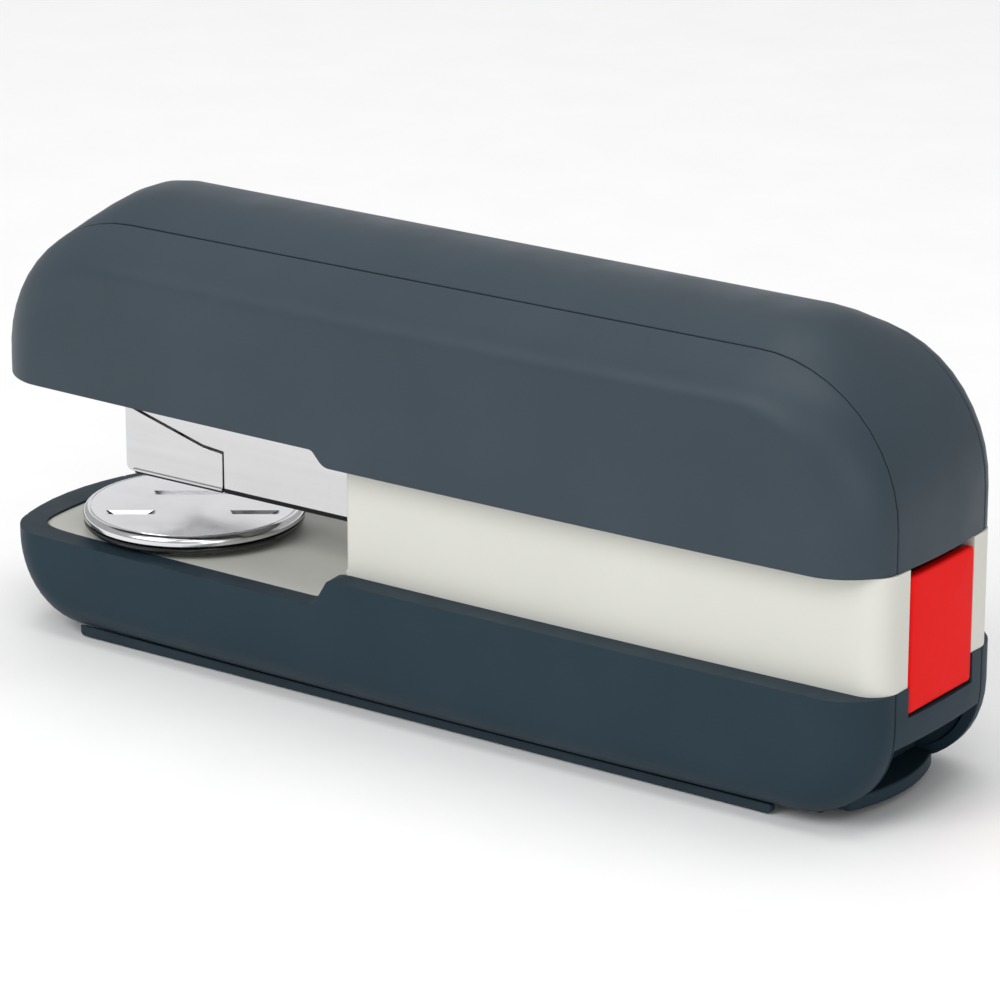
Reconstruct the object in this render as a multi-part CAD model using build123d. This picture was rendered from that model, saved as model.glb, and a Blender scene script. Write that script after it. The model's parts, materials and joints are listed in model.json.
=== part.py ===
from build123d import *
import os
from math import atan2, cos, degrees, pi, radians, sin, sqrt

# Electric desk stapler, in millimetres.
# The mouth is at -X, the release button at +X, and +Z is up.
# The origin is under the middle of the stapler, on the surface that it stands on.
# "Left" is +Y and "right" is -Y, as seen by a user who faces the mouth.

# ---- Outer body ----
HALF_LENGTH = 82.2
HEIGHT = 69.6
HALF_WIDTH = 20.7            # at the widest place
WIDEST_X = 13.0
SIDE_RADIUS = 2850.0         # the sides are very flat arcs seen from above
WALL = 2.2

# ---- Upper shell: a centre cover between two side covers ----
SHELL_BOTTOM = 39.2
SHELL_ROUND = 8.3            # runs round the front, the top and the rear edges of each side
SHELL_END_HEIGHT = 24.1      # height of the quarter ellipses at both ends
SHELL_FRONT_REACH = 21.5
SHELL_REAR_REACH = 24.5
SEAM_Y = 12.2
SEAM_GAP = 0.15
MOUTH_SHELL_BOTTOM = 41.6    # the shell steps up over the mouth
SHELL_STEP_X = -16.4
SHELL_STEP_RUN = 2.2

# ---- Base ----
BASE_BOTTOM = 1.2
BASE_RIM = 21.25
MOUTH_RIM = 16.6             # the rim steps down round the paper tray
BASE_STEP_X = -16.5
BASE_STEP_RUN = 2.9
BASE_ROUND = 6.0
BASE_END_REACH = 14.0
BASE_END_HEIGHT = 14.0
LEDGE = 4.0                  # width of the flat rim outside the cream parts
RIM_THICKNESS = 2.0

# ---- Cream housing band and paper tray ----
BAND_FRONT = -13.1
BAND_REAR = 82.0
BAND_WALL = 2.0
BAND_TOP = 39.15
BAND_LIP_TOP = 41.0
HEAD_SLOT = 8.1              # half-width of the slots that the head moves in
TRAY_FRONT = -78.2
TRAY_TOP = 16.2
TRAY_THICKNESS = 2.0

# ---- Anvil ----
ANVIL_X = -56.2
ANVIL_RADIUS = 17.8
ANVIL_TOP = 20.0
ANVIL_PLATE = 1.7
ANVIL_REST_TURN = 35.5       # degrees about +Z that the grooves are left turned
STAPLE_OFFSET = 5.2          # from the anvil's centre to the staple line
STAPLE_X = ANVIL_X - STAPLE_OFFSET
STAPLE_HALF_WIDTH = 6.4

# ---- Stapling head ----
HEAD_PIVOT = (30.0, 33.0)    # X and Z
HEAD_HALF_WIDTH = 7.75
PLATE = 0.6                  # sheet steel of the head
NOSE_FRONT = STAPLE_X - 2.2
NOSE_BOTTOM = 26.4
PARTING_X = -43.7            # where the nose meets the cradle
CHANNEL_HALF_WIDTH = 6.85
CHANNEL_BOTTOM = 27.0
CHANNEL_TOP = 34.3
CHANNEL_SHEET = 0.4
CHANNEL_FRONT = STAPLE_X + 1.0
CHANNEL_REAR = 20.0
CRADLE_TOP = 39.5
STRIP_LENGTH = 26.0
PUSHER_LENGTH = 10.0

# ---- Drive train: axes run along Y, places are X and Z ----
CAM_AXIS = (23.0, 50.5)
CAM_TEETH, SECOND_PINION_TEETH, SECOND_MODULE = 34, 12, 0.8
IDLER_TEETH, MOTOR_PINION_TEETH, FIRST_MODULE = 40, 10, 0.55
IDLER_BEARING = 10.0         # degrees above +X, from the cam axis to the idler axis
MOTOR_BEARING = -15.0        # degrees above +X, from the idler axis to the motor axis
ROCKER_PIVOT = (-18.0, 55.0)
CRANK_RADIUS = 6.6
CHASSIS_IN, CHASSIS_OUT = 9.3, 10.5
CHASSIS_FRONT, CHASSIS_LOW, CHASSIS_TOP = -11.0, 24.0, 64.0
RUNNING = 0.05               # radial clearance of a turning fit

# ---- Batteries: two rows of two AAA cells ----
CELL_RADIUS, CELL_LENGTH = 5.25, 44.5
CELLS_FRONT, CELL_Z = -22.5, 8.5
DOOR_HINGE = (-27.0, 2.4)    # X and Z
DOOR_REAR = 71.5
DOOR_HALF_WIDTH = 14.5
DOOR_PLATE = 1.6

# ---- Release button ----
BUTTON_FACE = HALF_LENGTH
BUTTON_HALF_WIDTH = 8.75
BUTTON_LOW, BUTTON_HIGH = 17.1, 37.9
STOP_X, STOP_THICKNESS = 76.2, 1.9   # the flange behind the rear wall that stops the button

# ---- Small fastenings ----
PIN_RADIUS = 1.5
SCREW_RADIUS, SCREW_HEAD_RADIUS = 1.4, 2.6
BOSS_RADIUS = 3.4
SCREW_PLACES = [(-65.0, 10.0), (-65.0, -10.0), (-36.5, 12.5), (-36.5, -12.5)]

# ---- Places inside ----
TRAY_BED = TRAY_TOP - TRAY_THICKNESS
RECESS_TOP = 12.4
BOARD_LEDGE = 9.5            # inset of the opening under the circuit board
DOOR_PIN_RADIUS = 0.8
RIVET_RADIUS, RIVET_HEAD_RADIUS = 2.0, 2.6
NECK_RADIUS = 15.5
CRADLE_BOTTOM = 26.8
RAIL_HALF_WIDTH, RAIL_TOP = 5.6, 33.0
ROD_Z, ROD_RADIUS = 30.0, 0.8
STRIP_FRONT = STAPLE_X + 1.3
DRIVER_HOLDER_X = (STAPLE_X - 0.7, STAPLE_X + 4.0)
DRIVER_HOLDER_LOW, DRIVER_HOLDER_TOP = 43.2, 49.0
ROCKER_HALF_WIDTH, SLOT_HALF_HEIGHT = 3.0, 2.4
AXLE_RADIUS = 1.0
GEAR_Y = (11.0, 12.8)        # cam gear and idler pinion
WHEEL_Y = (13.2, 14.8)       # idler wheel and motor pinion
MOTOR_RADIUS, MOTOR_REAR_Y = 10.0, -13.0
SPACER_RADIUS = 1.8
SPACER_PLACES = [(-7.0, 62.0), (38.0, 33.5), (40.0, 60.5)]
FOOT_SCREW_RADIUS = 0.9
SPRING_SEAT_X = 66.0
SENSOR_PIVOT, SENSOR_PIN_RADIUS = (-8.0, 38.0), 0.8
SENSOR_Y = (11.2, 12.8)


# ---------------------------------------------------------------- helpers

def block(x0, x1, y0, y1, z0, z1):
    """A box between two corners."""
    middle = Pos((x0 + x1) / 2, (y0 + y1) / 2, (z0 + z1) / 2)
    return middle * Box(x1 - x0, y1 - y0, z1 - z0)


def rod_x(y, z, radius, x0, x1):
    return Pos((x0 + x1) / 2, y, z) * Rot(0, 90, 0) * Cylinder(radius, x1 - x0)


def rod_y(place, radius, y0, y1):
    return Pos(place[0], (y0 + y1) / 2, place[1]) * Rot(90, 0, 0) * Cylinder(radius, y1 - y0)


def rod_z(x, y, radius, z0, z1):
    return Pos(x, y, (z0 + z1) / 2) * Cylinder(radius, z1 - z0)


def across(face, y0, y1):
    """Extrudes a face drawn in X and Z from y0 to y1."""
    plane = Plane((0, y1, 0), x_dir=(1, 0, 0), z_dir=(0, -1, 0))
    return extrude(plane * face, y1 - y0)


def polygon(*points):
    return make_face(Polyline(*points, close=True))


def soften(face, x, radius):
    """Rounds the corner of a side view that lies at x."""
    corner = [v for v in face.vertices() if abs(v.X - x) < 0.01]
    return fillet(corner, radius)


def group(*parts):
    """Separate solids that share one node."""
    return Compound(children=[solid for part in parts for solid in part.solids()])


def both_sides(part):
    """A part and its mirror image in the XZ plane, as separate solids."""
    return group(part, mirror(part, Plane.XZ))


def side_y(x, inset=0.0):
    """Half-width of the body at x, less an inset."""
    return HALF_WIDTH - inset - (x - WIDEST_X) ** 2 / (2 * SIDE_RADIUS)


def waist(inset):
    """The body seen from above: two flat arcs, longer than the body."""
    reach = 100.0
    front_y, middle_y, rear_y = side_y(-reach, inset), side_y(WIDEST_X, inset), side_y(reach, inset)
    right = ThreePointArc((-reach, -front_y), (WIDEST_X, -middle_y), (reach, -rear_y))
    left = ThreePointArc((reach, rear_y), (WIDEST_X, middle_y), (-reach, front_y))
    return make_face(Curve() + [right, Line(right @ 1, left @ 0), left, Line(left @ 1, right @ 0)])


def slab(inset, x0, x1, z0, z1, front_corner=0.0, rear_corner=0.0):
    """A slice of the waist between x0 and x1, with rounded corners."""
    body = (Pos(0, 0, z0) * extrude(waist(inset), z1 - z0)) & block(x0, x1, -30, 30, z0, z1)
    for x, radius in ((x0, front_corner), (x1, rear_corner)):
        if radius:
            corners = [e for e in body.edges().filter_by(Axis.Z) if abs(e.center().X - x) < 0.01]
            body = fillet(corners, radius)
    return body


def rounded(profile, inset, radius, low, high):
    """Cuts a side view out of the waist and rounds its long edges between two heights."""
    body = extrude(waist(inset), HEIGHT + 10) & across(profile, -30, 30)
    chain = [
        e for e in body.edges()
        if abs(abs(e.center().Y) - side_y(e.center().X, inset)) < 1.0 and low < e.center().Z < high
    ]
    return fillet(chain, radius)


def coil(radius, wire, length, turns):
    """A coil spring along +Z, between flat seats at the origin and at its length."""
    height = length - 1.4 * wire
    path = Helix(pitch=height / turns, height=height, radius=radius)
    section = Plane(origin=path @ 0, z_dir=path % 0) * Circle(wire / 2)
    return Pos(0, 0, 0.7 * wire) * sweep(section, path)


def gear(module, teeth, bore, y0, y1, place, turn):
    """A spur gear on an axis along Y. One tooth points turn degrees above +X."""
    root, tip = module * (teeth / 2 - 1.15), module * (teeth / 2 + 0.85)
    pitch = 2 * pi / teeth
    points = []
    for index in range(teeth):
        middle = index * pitch
        for radius, share in ((root, -0.36), (tip, -0.13), (tip, 0.13), (root, 0.36)):
            angle = middle + share * pitch
            points.append((radius * cos(angle), radius * sin(angle)))
    face = polygon(*points) - Circle(bore)
    return across(Pos(place[0], place[1]) * Rot(0, 0, turn) * face, y0, y1)


def polar(place, distance, bearing):
    """The point at a distance and a bearing in degrees from a place, in X and Z."""
    return (place[0] + distance * cos(radians(bearing)), place[1] + distance * sin(radians(bearing)))


IDLER_AXIS = polar(CAM_AXIS, SECOND_MODULE * (CAM_TEETH + SECOND_PINION_TEETH) / 2, IDLER_BEARING)
MOTOR_AXIS = polar(IDLER_AXIS, FIRST_MODULE * (IDLER_TEETH + MOTOR_PINION_TEETH) / 2, MOTOR_BEARING)


# ---------------------------------------------------------------- upper shell

def shell_profile(inset, bottom):
    """Side view of the upper shell: a flat top between two quarter ellipses."""
    front_x, rear_x = -HALF_LENGTH + inset, HALF_LENGTH - inset
    front_reach, rear_reach = SHELL_FRONT_REACH - inset, SHELL_REAR_REACH - inset
    rise = SHELL_END_HEIGHT - inset
    shoulder = HEIGHT - SHELL_END_HEIGHT
    front_centre, rear_centre = (front_x + front_reach, shoulder), (rear_x - rear_reach, shoulder)
    front = EllipticalCenterArc(front_centre, front_reach, rise, start_angle=90, arc_size=90)
    rear = EllipticalCenterArc(rear_centre, rear_reach, rise, start_angle=0, arc_size=90)
    down = Line(front @ 1, (front_x, bottom))
    under = Line(down @ 1, (rear_x, bottom))
    up = Line(under @ 1, rear @ 0)
    top = Line(rear @ 1, front @ 0)
    return make_face(Curve() + [front, down, under, up, rear, top])


def mouth_relief():
    """What is cut from the shell's lower edge over the mouth, with a soft step at its rear."""
    foot = SHELL_STEP_X + SHELL_STEP_RUN
    face = polygon(
        (-100, MOUTH_SHELL_BOTTOM), (SHELL_STEP_X, MOUTH_SHELL_BOTTOM), (foot, SHELL_BOTTOM),
        (foot + 8, SHELL_BOTTOM), (foot + 8, SHELL_BOTTOM - 5), (-100, SHELL_BOTTOM - 5),
    )
    face = soften(face, SHELL_STEP_X, 1.4)
    face = soften(face, foot, 2.5)
    return across(face, -30, 30)


def upper_shell():
    """The whole hollow shell. A flange along its lower edge closes in on the cream band."""
    outer = rounded(shell_profile(0, SHELL_BOTTOM), 0, SHELL_ROUND, SHELL_BOTTOM + 0.5, HEIGHT)
    inner = rounded(shell_profile(WALL, SHELL_BOTTOM - 10), WALL, SHELL_ROUND - WALL, SHELL_BOTTOM, HEIGHT)
    low, flange_top = SHELL_BOTTOM - 5, SHELL_BOTTOM + 2
    over_mouth = block(-100, BAND_FRONT, -30, 30, low, HEIGHT)
    over_band = block(BAND_FRONT, 100, -30, 30, flange_top, HEIGHT)
    collar = slab(LEDGE + 0.5, BAND_FRONT - 1, BAND_REAR - BAND_WALL, low, flange_top, 0, 4)
    return outer - (inner & (over_mouth + over_band)) - collar - mouth_relief()


def centre_cover(shell):
    edge = SEAM_Y - SEAM_GAP
    return shell & block(-100, 100, -edge, edge, 0, HEIGHT + 5)


def side_cover(shell):
    """The right cheek of the upper shell."""
    return shell & block(-100, 100, -30, -SEAM_Y, 0, HEIGHT + 5)


def mouth_roof():
    """The dark plate that closes the shell over the mouth, with a slot for the head."""
    low = MOUTH_SHELL_BOTTOM + 0.6
    plate = slab(WALL + 0.2, -HALF_LENGTH + WALL + 0.2, BAND_FRONT - 0.2, low, low + 1.5, SHELL_ROUND - WALL)
    return plate - block(NOSE_FRONT - 6, 0, -HEAD_SLOT - 0.3, HEAD_SLOT + 0.3, 0, HEIGHT)


# ---------------------------------------------------------------- cream parts

def mid_housing():
    """The cream band between shell and base, open for the head in front and the button behind."""
    inner_rear = BAND_REAR - 1.8 * BAND_WALL
    band = slab(LEDGE, BAND_FRONT, BAND_REAR, BASE_RIM, BAND_TOP, 1.0, 4.3)
    band += slab(LEDGE + 0.7, BAND_FRONT + 0.2, BAND_REAR - 2.3, BAND_TOP, BAND_LIP_TOP, 0.8, 4)
    inside = slab(LEDGE + BAND_WALL, BAND_FRONT + BAND_WALL, inner_rear, BASE_RIM, BAND_LIP_TOP, 0.5, 2.3)
    apron = slab(LEDGE + 0.1, BAND_FRONT, BAND_FRONT + BAND_WALL, TRAY_BED, BASE_RIM)
    band = band - inside + apron
    band -= block(-20, BAND_FRONT + BAND_WALL + 1, -HEAD_SLOT, HEAD_SLOT, BASE_RIM + 0.8, 50)
    band -= block(-20, BAND_FRONT + BAND_WALL + 1, SENSOR_Y[0] - 0.3, SENSOR_Y[1] + 0.3, BASE_RIM + 0.8, 31)
    band -= block(70, 90, -BUTTON_HALF_WIDTH - 0.25, BUTTON_HALF_WIDTH + 0.25, 0, BAND_TOP)
    return band


def paper_tray():
    """The cream plate under the mouth."""
    plate = slab(LEDGE + 0.05, TRAY_FRONT + 0.05, BAND_FRONT - 0.1, TRAY_BED, TRAY_TOP, 3.2)
    return plate - rod_z(ANVIL_X, 0, RIVET_RADIUS + RUNNING, 0, 30)


# ---------------------------------------------------------------- base

def base_profile(inset, top):
    """Side view of the base: a flat bottom between two quarter ellipses."""
    front_x, rear_x = -HALF_LENGTH + inset, HALF_LENGTH - inset
    reach, rise = BASE_END_REACH - inset, BASE_END_HEIGHT - inset
    shoulder = BASE_BOTTOM + BASE_END_HEIGHT
    front = EllipticalCenterArc((front_x + reach, shoulder), reach, rise, start_angle=180, arc_size=90)
    rear = EllipticalCenterArc((rear_x - reach, shoulder), reach, rise, start_angle=270, arc_size=90)
    bottom = Line(front @ 1, rear @ 0)
    up = Line(rear @ 1, (rear_x, top))
    over = Line(up @ 1, (front_x, top))
    down = Line(over @ 1, front @ 0)
    return make_face(Curve() + [front, bottom, rear, up, over, down])


def base_loaf(inset, top):
    return rounded(base_profile(inset, top), inset, BASE_ROUND - inset, 0, top - 0.5)


def mouth_rim_relief():
    """What is cut from the rim round the paper tray, with a hollow step at its rear."""
    top = BASE_STEP_X + BASE_STEP_RUN
    face = polygon((-100, MOUTH_RIM), (BASE_STEP_X, MOUTH_RIM), (top, BASE_RIM + 3), (-100, BASE_RIM + 3))
    return across(soften(face, BASE_STEP_X, 2.5), -30, 30)


def finger_recess(margin):
    """The hollow under the rear end, between the cheeks, from which a finger pulls the battery door."""
    top = RECESS_TOP + margin
    return block(DOOR_REAR - margin, HALF_LENGTH + 5, -SEAM_Y - margin, SEAM_Y + margin, -1, top)


def base_hollow():
    """The room inside the base: low under the tray, full height behind it."""
    whole = base_loaf(WALL, BASE_RIM - RIM_THICKNESS)
    low = block(-100, 100, -30, 30, 0, TRAY_BED - RIM_THICKNESS)
    high = block(BAND_FRONT + 2 * BAND_WALL, 100, -30, 30, 0, BASE_RIM)
    return (whole & (low + high)) - finger_recess(WALL)


def base_tub():
    tub = base_loaf(0, BASE_RIM) - base_hollow() - finger_recess(0) - mouth_rim_relief()
    tub -= slab(LEDGE, TRAY_FRONT, BAND_FRONT + BAND_WALL + 0.1, TRAY_BED, BASE_RIM + 1, 3.2)
    tub -= slab(LEDGE + 3, TRAY_FRONT + 3, BAND_FRONT + 2 * BAND_WALL, TRAY_BED - 3, TRAY_BED, 2)
    tub -= slab(BOARD_LEDGE, BAND_FRONT + 3 * BAND_WALL, DOOR_REAR, BASE_RIM - 3, BASE_RIM + 1, 2, 2)
    rib = block(CELLS_FRONT - 4, CELLS_FRONT - 2.4, -30, 30, 4.5, TRAY_BED - RIM_THICKNESS)
    tub += rib & base_loaf(1, BASE_RIM)
    for x, y in SCREW_PLACES:
        tub += rod_z(x, y, BOSS_RADIUS, BASE_BOTTOM + 1, TRAY_BED)
    for x, y in SCREW_PLACES:
        tub -= rod_z(x, y, SCREW_RADIUS, 0, TRAY_BED - 2)
        tub -= rod_z(x, y, SCREW_HEAD_RADIUS, 0, BASE_BOTTOM + 1.6)
    for x, y, sign in chassis_foot_places():
        tub -= rod_z(x, sign * y, FOOT_SCREW_RADIUS, BASE_RIM - 3, BASE_RIM + 1)
    return tub - door_way() - button_way()


def door_way():
    """The opening of the battery door in the base, with its two hinge holes."""
    edge = DOOR_HALF_WIDTH + 0.3
    way = block(DOOR_HINGE[0] - 1.9, DOOR_REAR, -edge, edge, 0, BASE_BOTTOM + WALL + 0.5)
    return way + rod_y(DOOR_HINGE, DOOR_PIN_RADIUS + RUNNING, -edge - 1.1, edge + 1.1)


def button_way():
    side = BUTTON_HALF_WIDTH + 0.25
    return block(STOP_X - 0.6, 90, -side, side, BUTTON_LOW - 0.4, 50)


def housing_screws():
    """Screws up through the base, with cross slots in their heads."""
    screws = []
    for x, y in SCREW_PLACES:
        head = rod_z(x, y, SCREW_HEAD_RADIUS - 0.2, BASE_BOTTOM + 0.2, BASE_BOTTOM + 1.6)
        shank = rod_z(x, y, SCREW_RADIUS - RUNNING, BASE_BOTTOM + 1, TRAY_BED - 2.2)
        slots = block(x - 1.8, x + 1.8, y - 0.3, y + 0.3, 0, BASE_BOTTOM + 0.8)
        slots += block(x - 0.3, x + 0.3, y - 1.8, y + 1.8, 0, BASE_BOTTOM + 0.8)
        screws.append(head + shank - slots)
    return group(*screws)


def foot_rail():
    """The right foot: a narrow rubber strip along the bottom edge."""
    strip = block(-66.8, 64, -16.5, -DOOR_HALF_WIDTH - 0.45, 0, 4)
    ends = [e for e in strip.edges().filter_by(Axis.Y) if e.center().Z < 1]
    return fillet(ends, 0.8) - base_loaf(0, BASE_RIM)


# ---------------------------------------------------------------- batteries

def battery_rows():
    return (-CELL_RADIUS - 0.15, CELL_RADIUS + 0.15)


def battery_cells():
    cells = []
    for y in battery_rows():
        for front in (CELLS_FRONT, CELLS_FRONT + CELL_LENGTH):
            can = rod_x(y, CELL_Z, CELL_RADIUS, front + 1, front + CELL_LENGTH - 0.05)
            cells.append(can + rod_x(y, CELL_Z, 1.9, front, front + 1))
    return group(*cells)


def battery_contacts():
    """Spring-steel plates with a raised dimple, against both ends of each row."""
    contacts = []
    for y in battery_rows():
        for face, inward in ((CELLS_FRONT - 2.4, 1), (DOOR_REAR - WALL, -1)):
            back, front = sorted((face, face + inward * 0.5))
            tip_back, tip_front = sorted((face, face + inward * 2.2))
            plate = block(back, front, y - 4, y + 4, CELL_Z - 3.9, CELL_Z + 3.5)
            contacts.append(plate + rod_x(y, CELL_Z, 1.7, tip_back, tip_front))
    return group(*contacts)


def battery_door():
    """The door: a plate between the foot rails, a hinge barrel in front and a finger leaf behind."""
    top = BASE_BOTTOM + DOOR_PLATE
    door = block(DOOR_HINGE[0], DOOR_REAR, -DOOR_HALF_WIDTH, DOOR_HALF_WIDTH, BASE_BOTTOM, top)
    leaf_side = SEAM_Y - 0.5
    door += block(DOOR_REAR - 4, DOOR_REAR + 4.7, -leaf_side, leaf_side, BASE_BOTTOM, top)
    door += block(DOOR_REAR + 2.7, DOOR_REAR + 4.7, -leaf_side, leaf_side, BASE_BOTTOM, top + 0.8)
    door += rod_y(DOOR_HINGE, 1.1, -DOOR_HALF_WIDTH, DOOR_HALF_WIDTH)
    return door + rod_y(DOOR_HINGE, DOOR_PIN_RADIUS, -DOOR_HALF_WIDTH - 1.2, DOOR_HALF_WIDTH + 1.2)


# ---------------------------------------------------------------- anvil

def anvil_ring():
    """The dark saucer that the anvil disc turns in. Its edge lies over the rim of the base."""
    floor_top = TRAY_TOP + 0.7
    ring = rod_z(ANVIL_X, 0, ANVIL_RADIUS + 0.5, MOUTH_RIM + 0.05, ANVIL_TOP - ANVIL_PLATE - 0.4)
    ring += rod_z(ANVIL_X, 0, 15.2, TRAY_TOP, floor_top)
    ring -= rod_z(ANVIL_X, 0, NECK_RADIUS + 0.5, floor_top, ANVIL_TOP)
    return ring - rod_z(ANVIL_X, 0, RIVET_RADIUS + RUNNING, 0, ANVIL_TOP)


def groove(x0, x1, y):
    """A staple groove of the anvil, drawn with the staple line along X."""
    width, depth = 1.6, 0.6
    middle = Pos((x0 + x1) / 2, y, ANVIL_TOP)
    return middle * extrude(SlotOverall(x1 - x0, width), depth, both=True)


def anvil_disc():
    """The steel disc: one straight groove that folds the legs in, and two that fold them out."""
    plate = Pos(0, 0, ANVIL_TOP - ANVIL_PLATE / 2) * Cylinder(ANVIL_RADIUS, ANVIL_PLATE)
    plate = fillet(plate.edges().filter_by(GeomType.CIRCLE), 0.6)
    low = TRAY_TOP + 1.0
    disc = plate + rod_z(0, 0, NECK_RADIUS, low, ANVIL_TOP - ANVIL_PLATE + 0.5)
    disc -= groove(-7, 7, STAPLE_OFFSET)
    disc -= both_grooves_out()
    disc -= rod_z(0, 0, RIVET_RADIUS + RUNNING, 0, ANVIL_TOP + 1)
    disc -= rod_z(0, 0, RIVET_HEAD_RADIUS + 0.1, ANVIL_TOP - 0.8, ANVIL_TOP + 1)
    return Pos(ANVIL_X, 0, 0) * Rot(0, 0, ANVIL_REST_TURN) * disc


def both_grooves_out():
    inner, outer = 5.9, 13.9
    return groove(-outer, -inner, -STAPLE_OFFSET + 0.4) + groove(inner, outer, -STAPLE_OFFSET + 0.4)


def anvil_rivet():
    shank = rod_z(ANVIL_X, 0, RIVET_RADIUS, TRAY_BED - 2, ANVIL_TOP - 0.1)
    head = rod_z(ANVIL_X, 0, RIVET_HEAD_RADIUS, ANVIL_TOP - 0.7, ANVIL_TOP - 0.1)
    foot = rod_z(ANVIL_X, 0, RIVET_HEAD_RADIUS + 0.8, TRAY_BED - 2.2, TRAY_BED - 1.4)
    return shank + head + foot


def anvil_washer():
    ring = rod_z(ANVIL_X, 0, 6, TRAY_BED - 1.3, TRAY_BED - 0.05)
    return ring - rod_z(ANVIL_X, 0, RIVET_RADIUS + RUNNING, 0, 30)


# ---------------------------------------------------------------- stapling head

def head_sides(face):
    """The two side plates of the head from one side view."""
    return across(face, -HEAD_HALF_WIDTH, -HEAD_HALF_WIDTH + PLATE) + across(
        face, HEAD_HALF_WIDTH - PLATE, HEAD_HALF_WIDTH)


def parting(gap):
    """The slanting line between nose and cradle, from the front to the rear."""
    line = ((NOSE_FRONT, 37.2), (-60.1, 36.2), (-47.8, 32.9), (PARTING_X - 0.3, 32.5))
    return [(x, z + gap) for x, z in line]


def magazine_nose():
    """The chrome front end of the magazine. The staples leave through its floor."""
    rear = PARTING_X - 0.3
    side = polygon((NOSE_FRONT, NOSE_BOTTOM), *parting(0), (rear, NOSE_BOTTOM))
    lower_corner = [v for v in side.vertices() if v.X < NOSE_FRONT + 0.01 and v.Y < NOSE_BOTTOM + 0.01]
    side = fillet(lower_corner, 1.0)
    front_top = parting(0)[0][1]
    nose = head_sides(side)
    nose += block(
        NOSE_FRONT, NOSE_FRONT + PLATE, -HEAD_HALF_WIDTH, HEAD_HALF_WIDTH, NOSE_BOTTOM + 1, front_top)
    nose += block(CHANNEL_FRONT, rear, -HEAD_HALF_WIDTH, HEAD_HALF_WIDTH, NOSE_BOTTOM, CHANNEL_BOTTOM)
    return nose


def head_cradle():
    """The chrome channel that the magazine slides in. It turns on the head pivot."""
    rear = HEAD_PIVOT[0] + 4
    low = CRADLE_BOTTOM
    side = polygon(
        (NOSE_FRONT, CRADLE_TOP), *parting(0.4)[:3], (PARTING_X, 32.9), (PARTING_X, low),
        (rear, low), (rear, CRADLE_TOP),
    )
    cradle = head_sides(side)
    cradle += block(
        DRIVER_HOLDER_X[1] + 0.4, 5, -HEAD_HALF_WIDTH, HEAD_HALF_WIDTH, CRADLE_TOP - PLATE, CRADLE_TOP)
    return cradle - rod_y(HEAD_PIVOT, PIN_RADIUS + RUNNING, -20, 20)


def cradle_strip():
    """The right black slide strip under the cradle."""
    return block(PARTING_X, CHANNEL_REAR, -HEAD_HALF_WIDTH, -6, CRADLE_BOTTOM - 0.7, CRADLE_BOTTOM)


def head_return_springs():
    """Two springs that lift the head, hooked on the front chassis spacer."""
    length = SPACER_PLACES[0][1] - SPACER_RADIUS - CRADLE_TOP
    spring = coil(1.3, 0.5, length, 11)
    return both_sides(Pos(SPACER_PLACES[0][0], 5.8, CRADLE_TOP) * spring)


# ---------------------------------------------------------------- magazine

def magazine_channel():
    """A steel trough for the staples."""
    side = CHANNEL_HALF_WIDTH
    trough = block(CHANNEL_FRONT, CHANNEL_REAR, -side, side, CHANNEL_BOTTOM, CHANNEL_TOP)
    inner = side - CHANNEL_SHEET
    return trough - block(-100, 100, -inner, inner, CHANNEL_BOTTOM + CHANNEL_SHEET, CHANNEL_TOP + 1)


def staple_rail():
    """An upturned trough that the staples ride on, slotted along the top for the pusher."""
    front, rear = CHANNEL_FRONT + 0.4, CHANNEL_REAR - 0.5
    floor = CHANNEL_BOTTOM + CHANNEL_SHEET
    outer, inner = RAIL_HALF_WIDTH, RAIL_HALF_WIDTH - 0.5
    rail = block(front, rear, -outer, outer, floor + 0.3, RAIL_TOP)
    rail -= block(front + 0.8, rear - 1.5, -inner, inner, 0, RAIL_TOP - 0.5)
    rail += block(rear - 1.5, rear, -outer, outer, floor, RAIL_TOP)
    rail -= block(front + 3, rear - 2.5, -0.9, 0.9, 30, 40)
    return rail - rod_x(0, ROD_Z, ROD_RADIUS, front + 0.4, rear)


def pusher_rod():
    return rod_x(0, ROD_Z, ROD_RADIUS - 0.01, CHANNEL_FRONT + 0.85, CHANNEL_REAR - 0.5)


def staple_strip():
    """A glued stick of staples, hanging over the rail."""
    front, rear = STRIP_FRONT, STRIP_FRONT + STRIP_LENGTH
    leg_low = CHANNEL_BOTTOM + CHANNEL_SHEET + 0.4
    stick = block(front, rear, -STAPLE_HALF_WIDTH, STAPLE_HALF_WIDTH, leg_low, RAIL_TOP + 0.9)
    under = RAIL_HALF_WIDTH + 0.2
    return stick - block(-100, 100, -under, under, 0, RAIL_TOP + 0.3)


def staple_pusher():
    """The slider behind the staples: a saddle on the rail, joined through the slot to a block below."""
    front = STRIP_FRONT + STRIP_LENGTH + 0.2
    rear = front + PUSHER_LENGTH
    leg_low = CHANNEL_BOTTOM + CHANNEL_SHEET + 0.4
    half_width = CHANNEL_HALF_WIDTH - CHANNEL_SHEET - 0.3
    saddle = block(front, rear, -half_width, half_width, leg_low, RAIL_TOP + 1.0)
    under = RAIL_HALF_WIDTH + 0.2
    saddle -= block(-100, 100, -under, under, 0, RAIL_TOP + 0.3)
    saddle += block(front, rear, -0.6, 0.6, ROD_Z, RAIL_TOP + 0.5)
    saddle += block(front, rear, -3.5, 3.5, ROD_Z - 1.4, ROD_Z + 1.4)
    return saddle - rod_x(0, ROD_Z, ROD_RADIUS + RUNNING, -100, 100)


def pusher_spring():
    front = STRIP_FRONT + STRIP_LENGTH + PUSHER_LENGTH + 0.5
    rear = CHANNEL_REAR - 2.3
    return Pos(front, 0, ROD_Z) * Rot(0, 90, 0) * coil(1.7, 0.5, rear - front, 22)


# ---------------------------------------------------------------- driver and rocker

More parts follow.
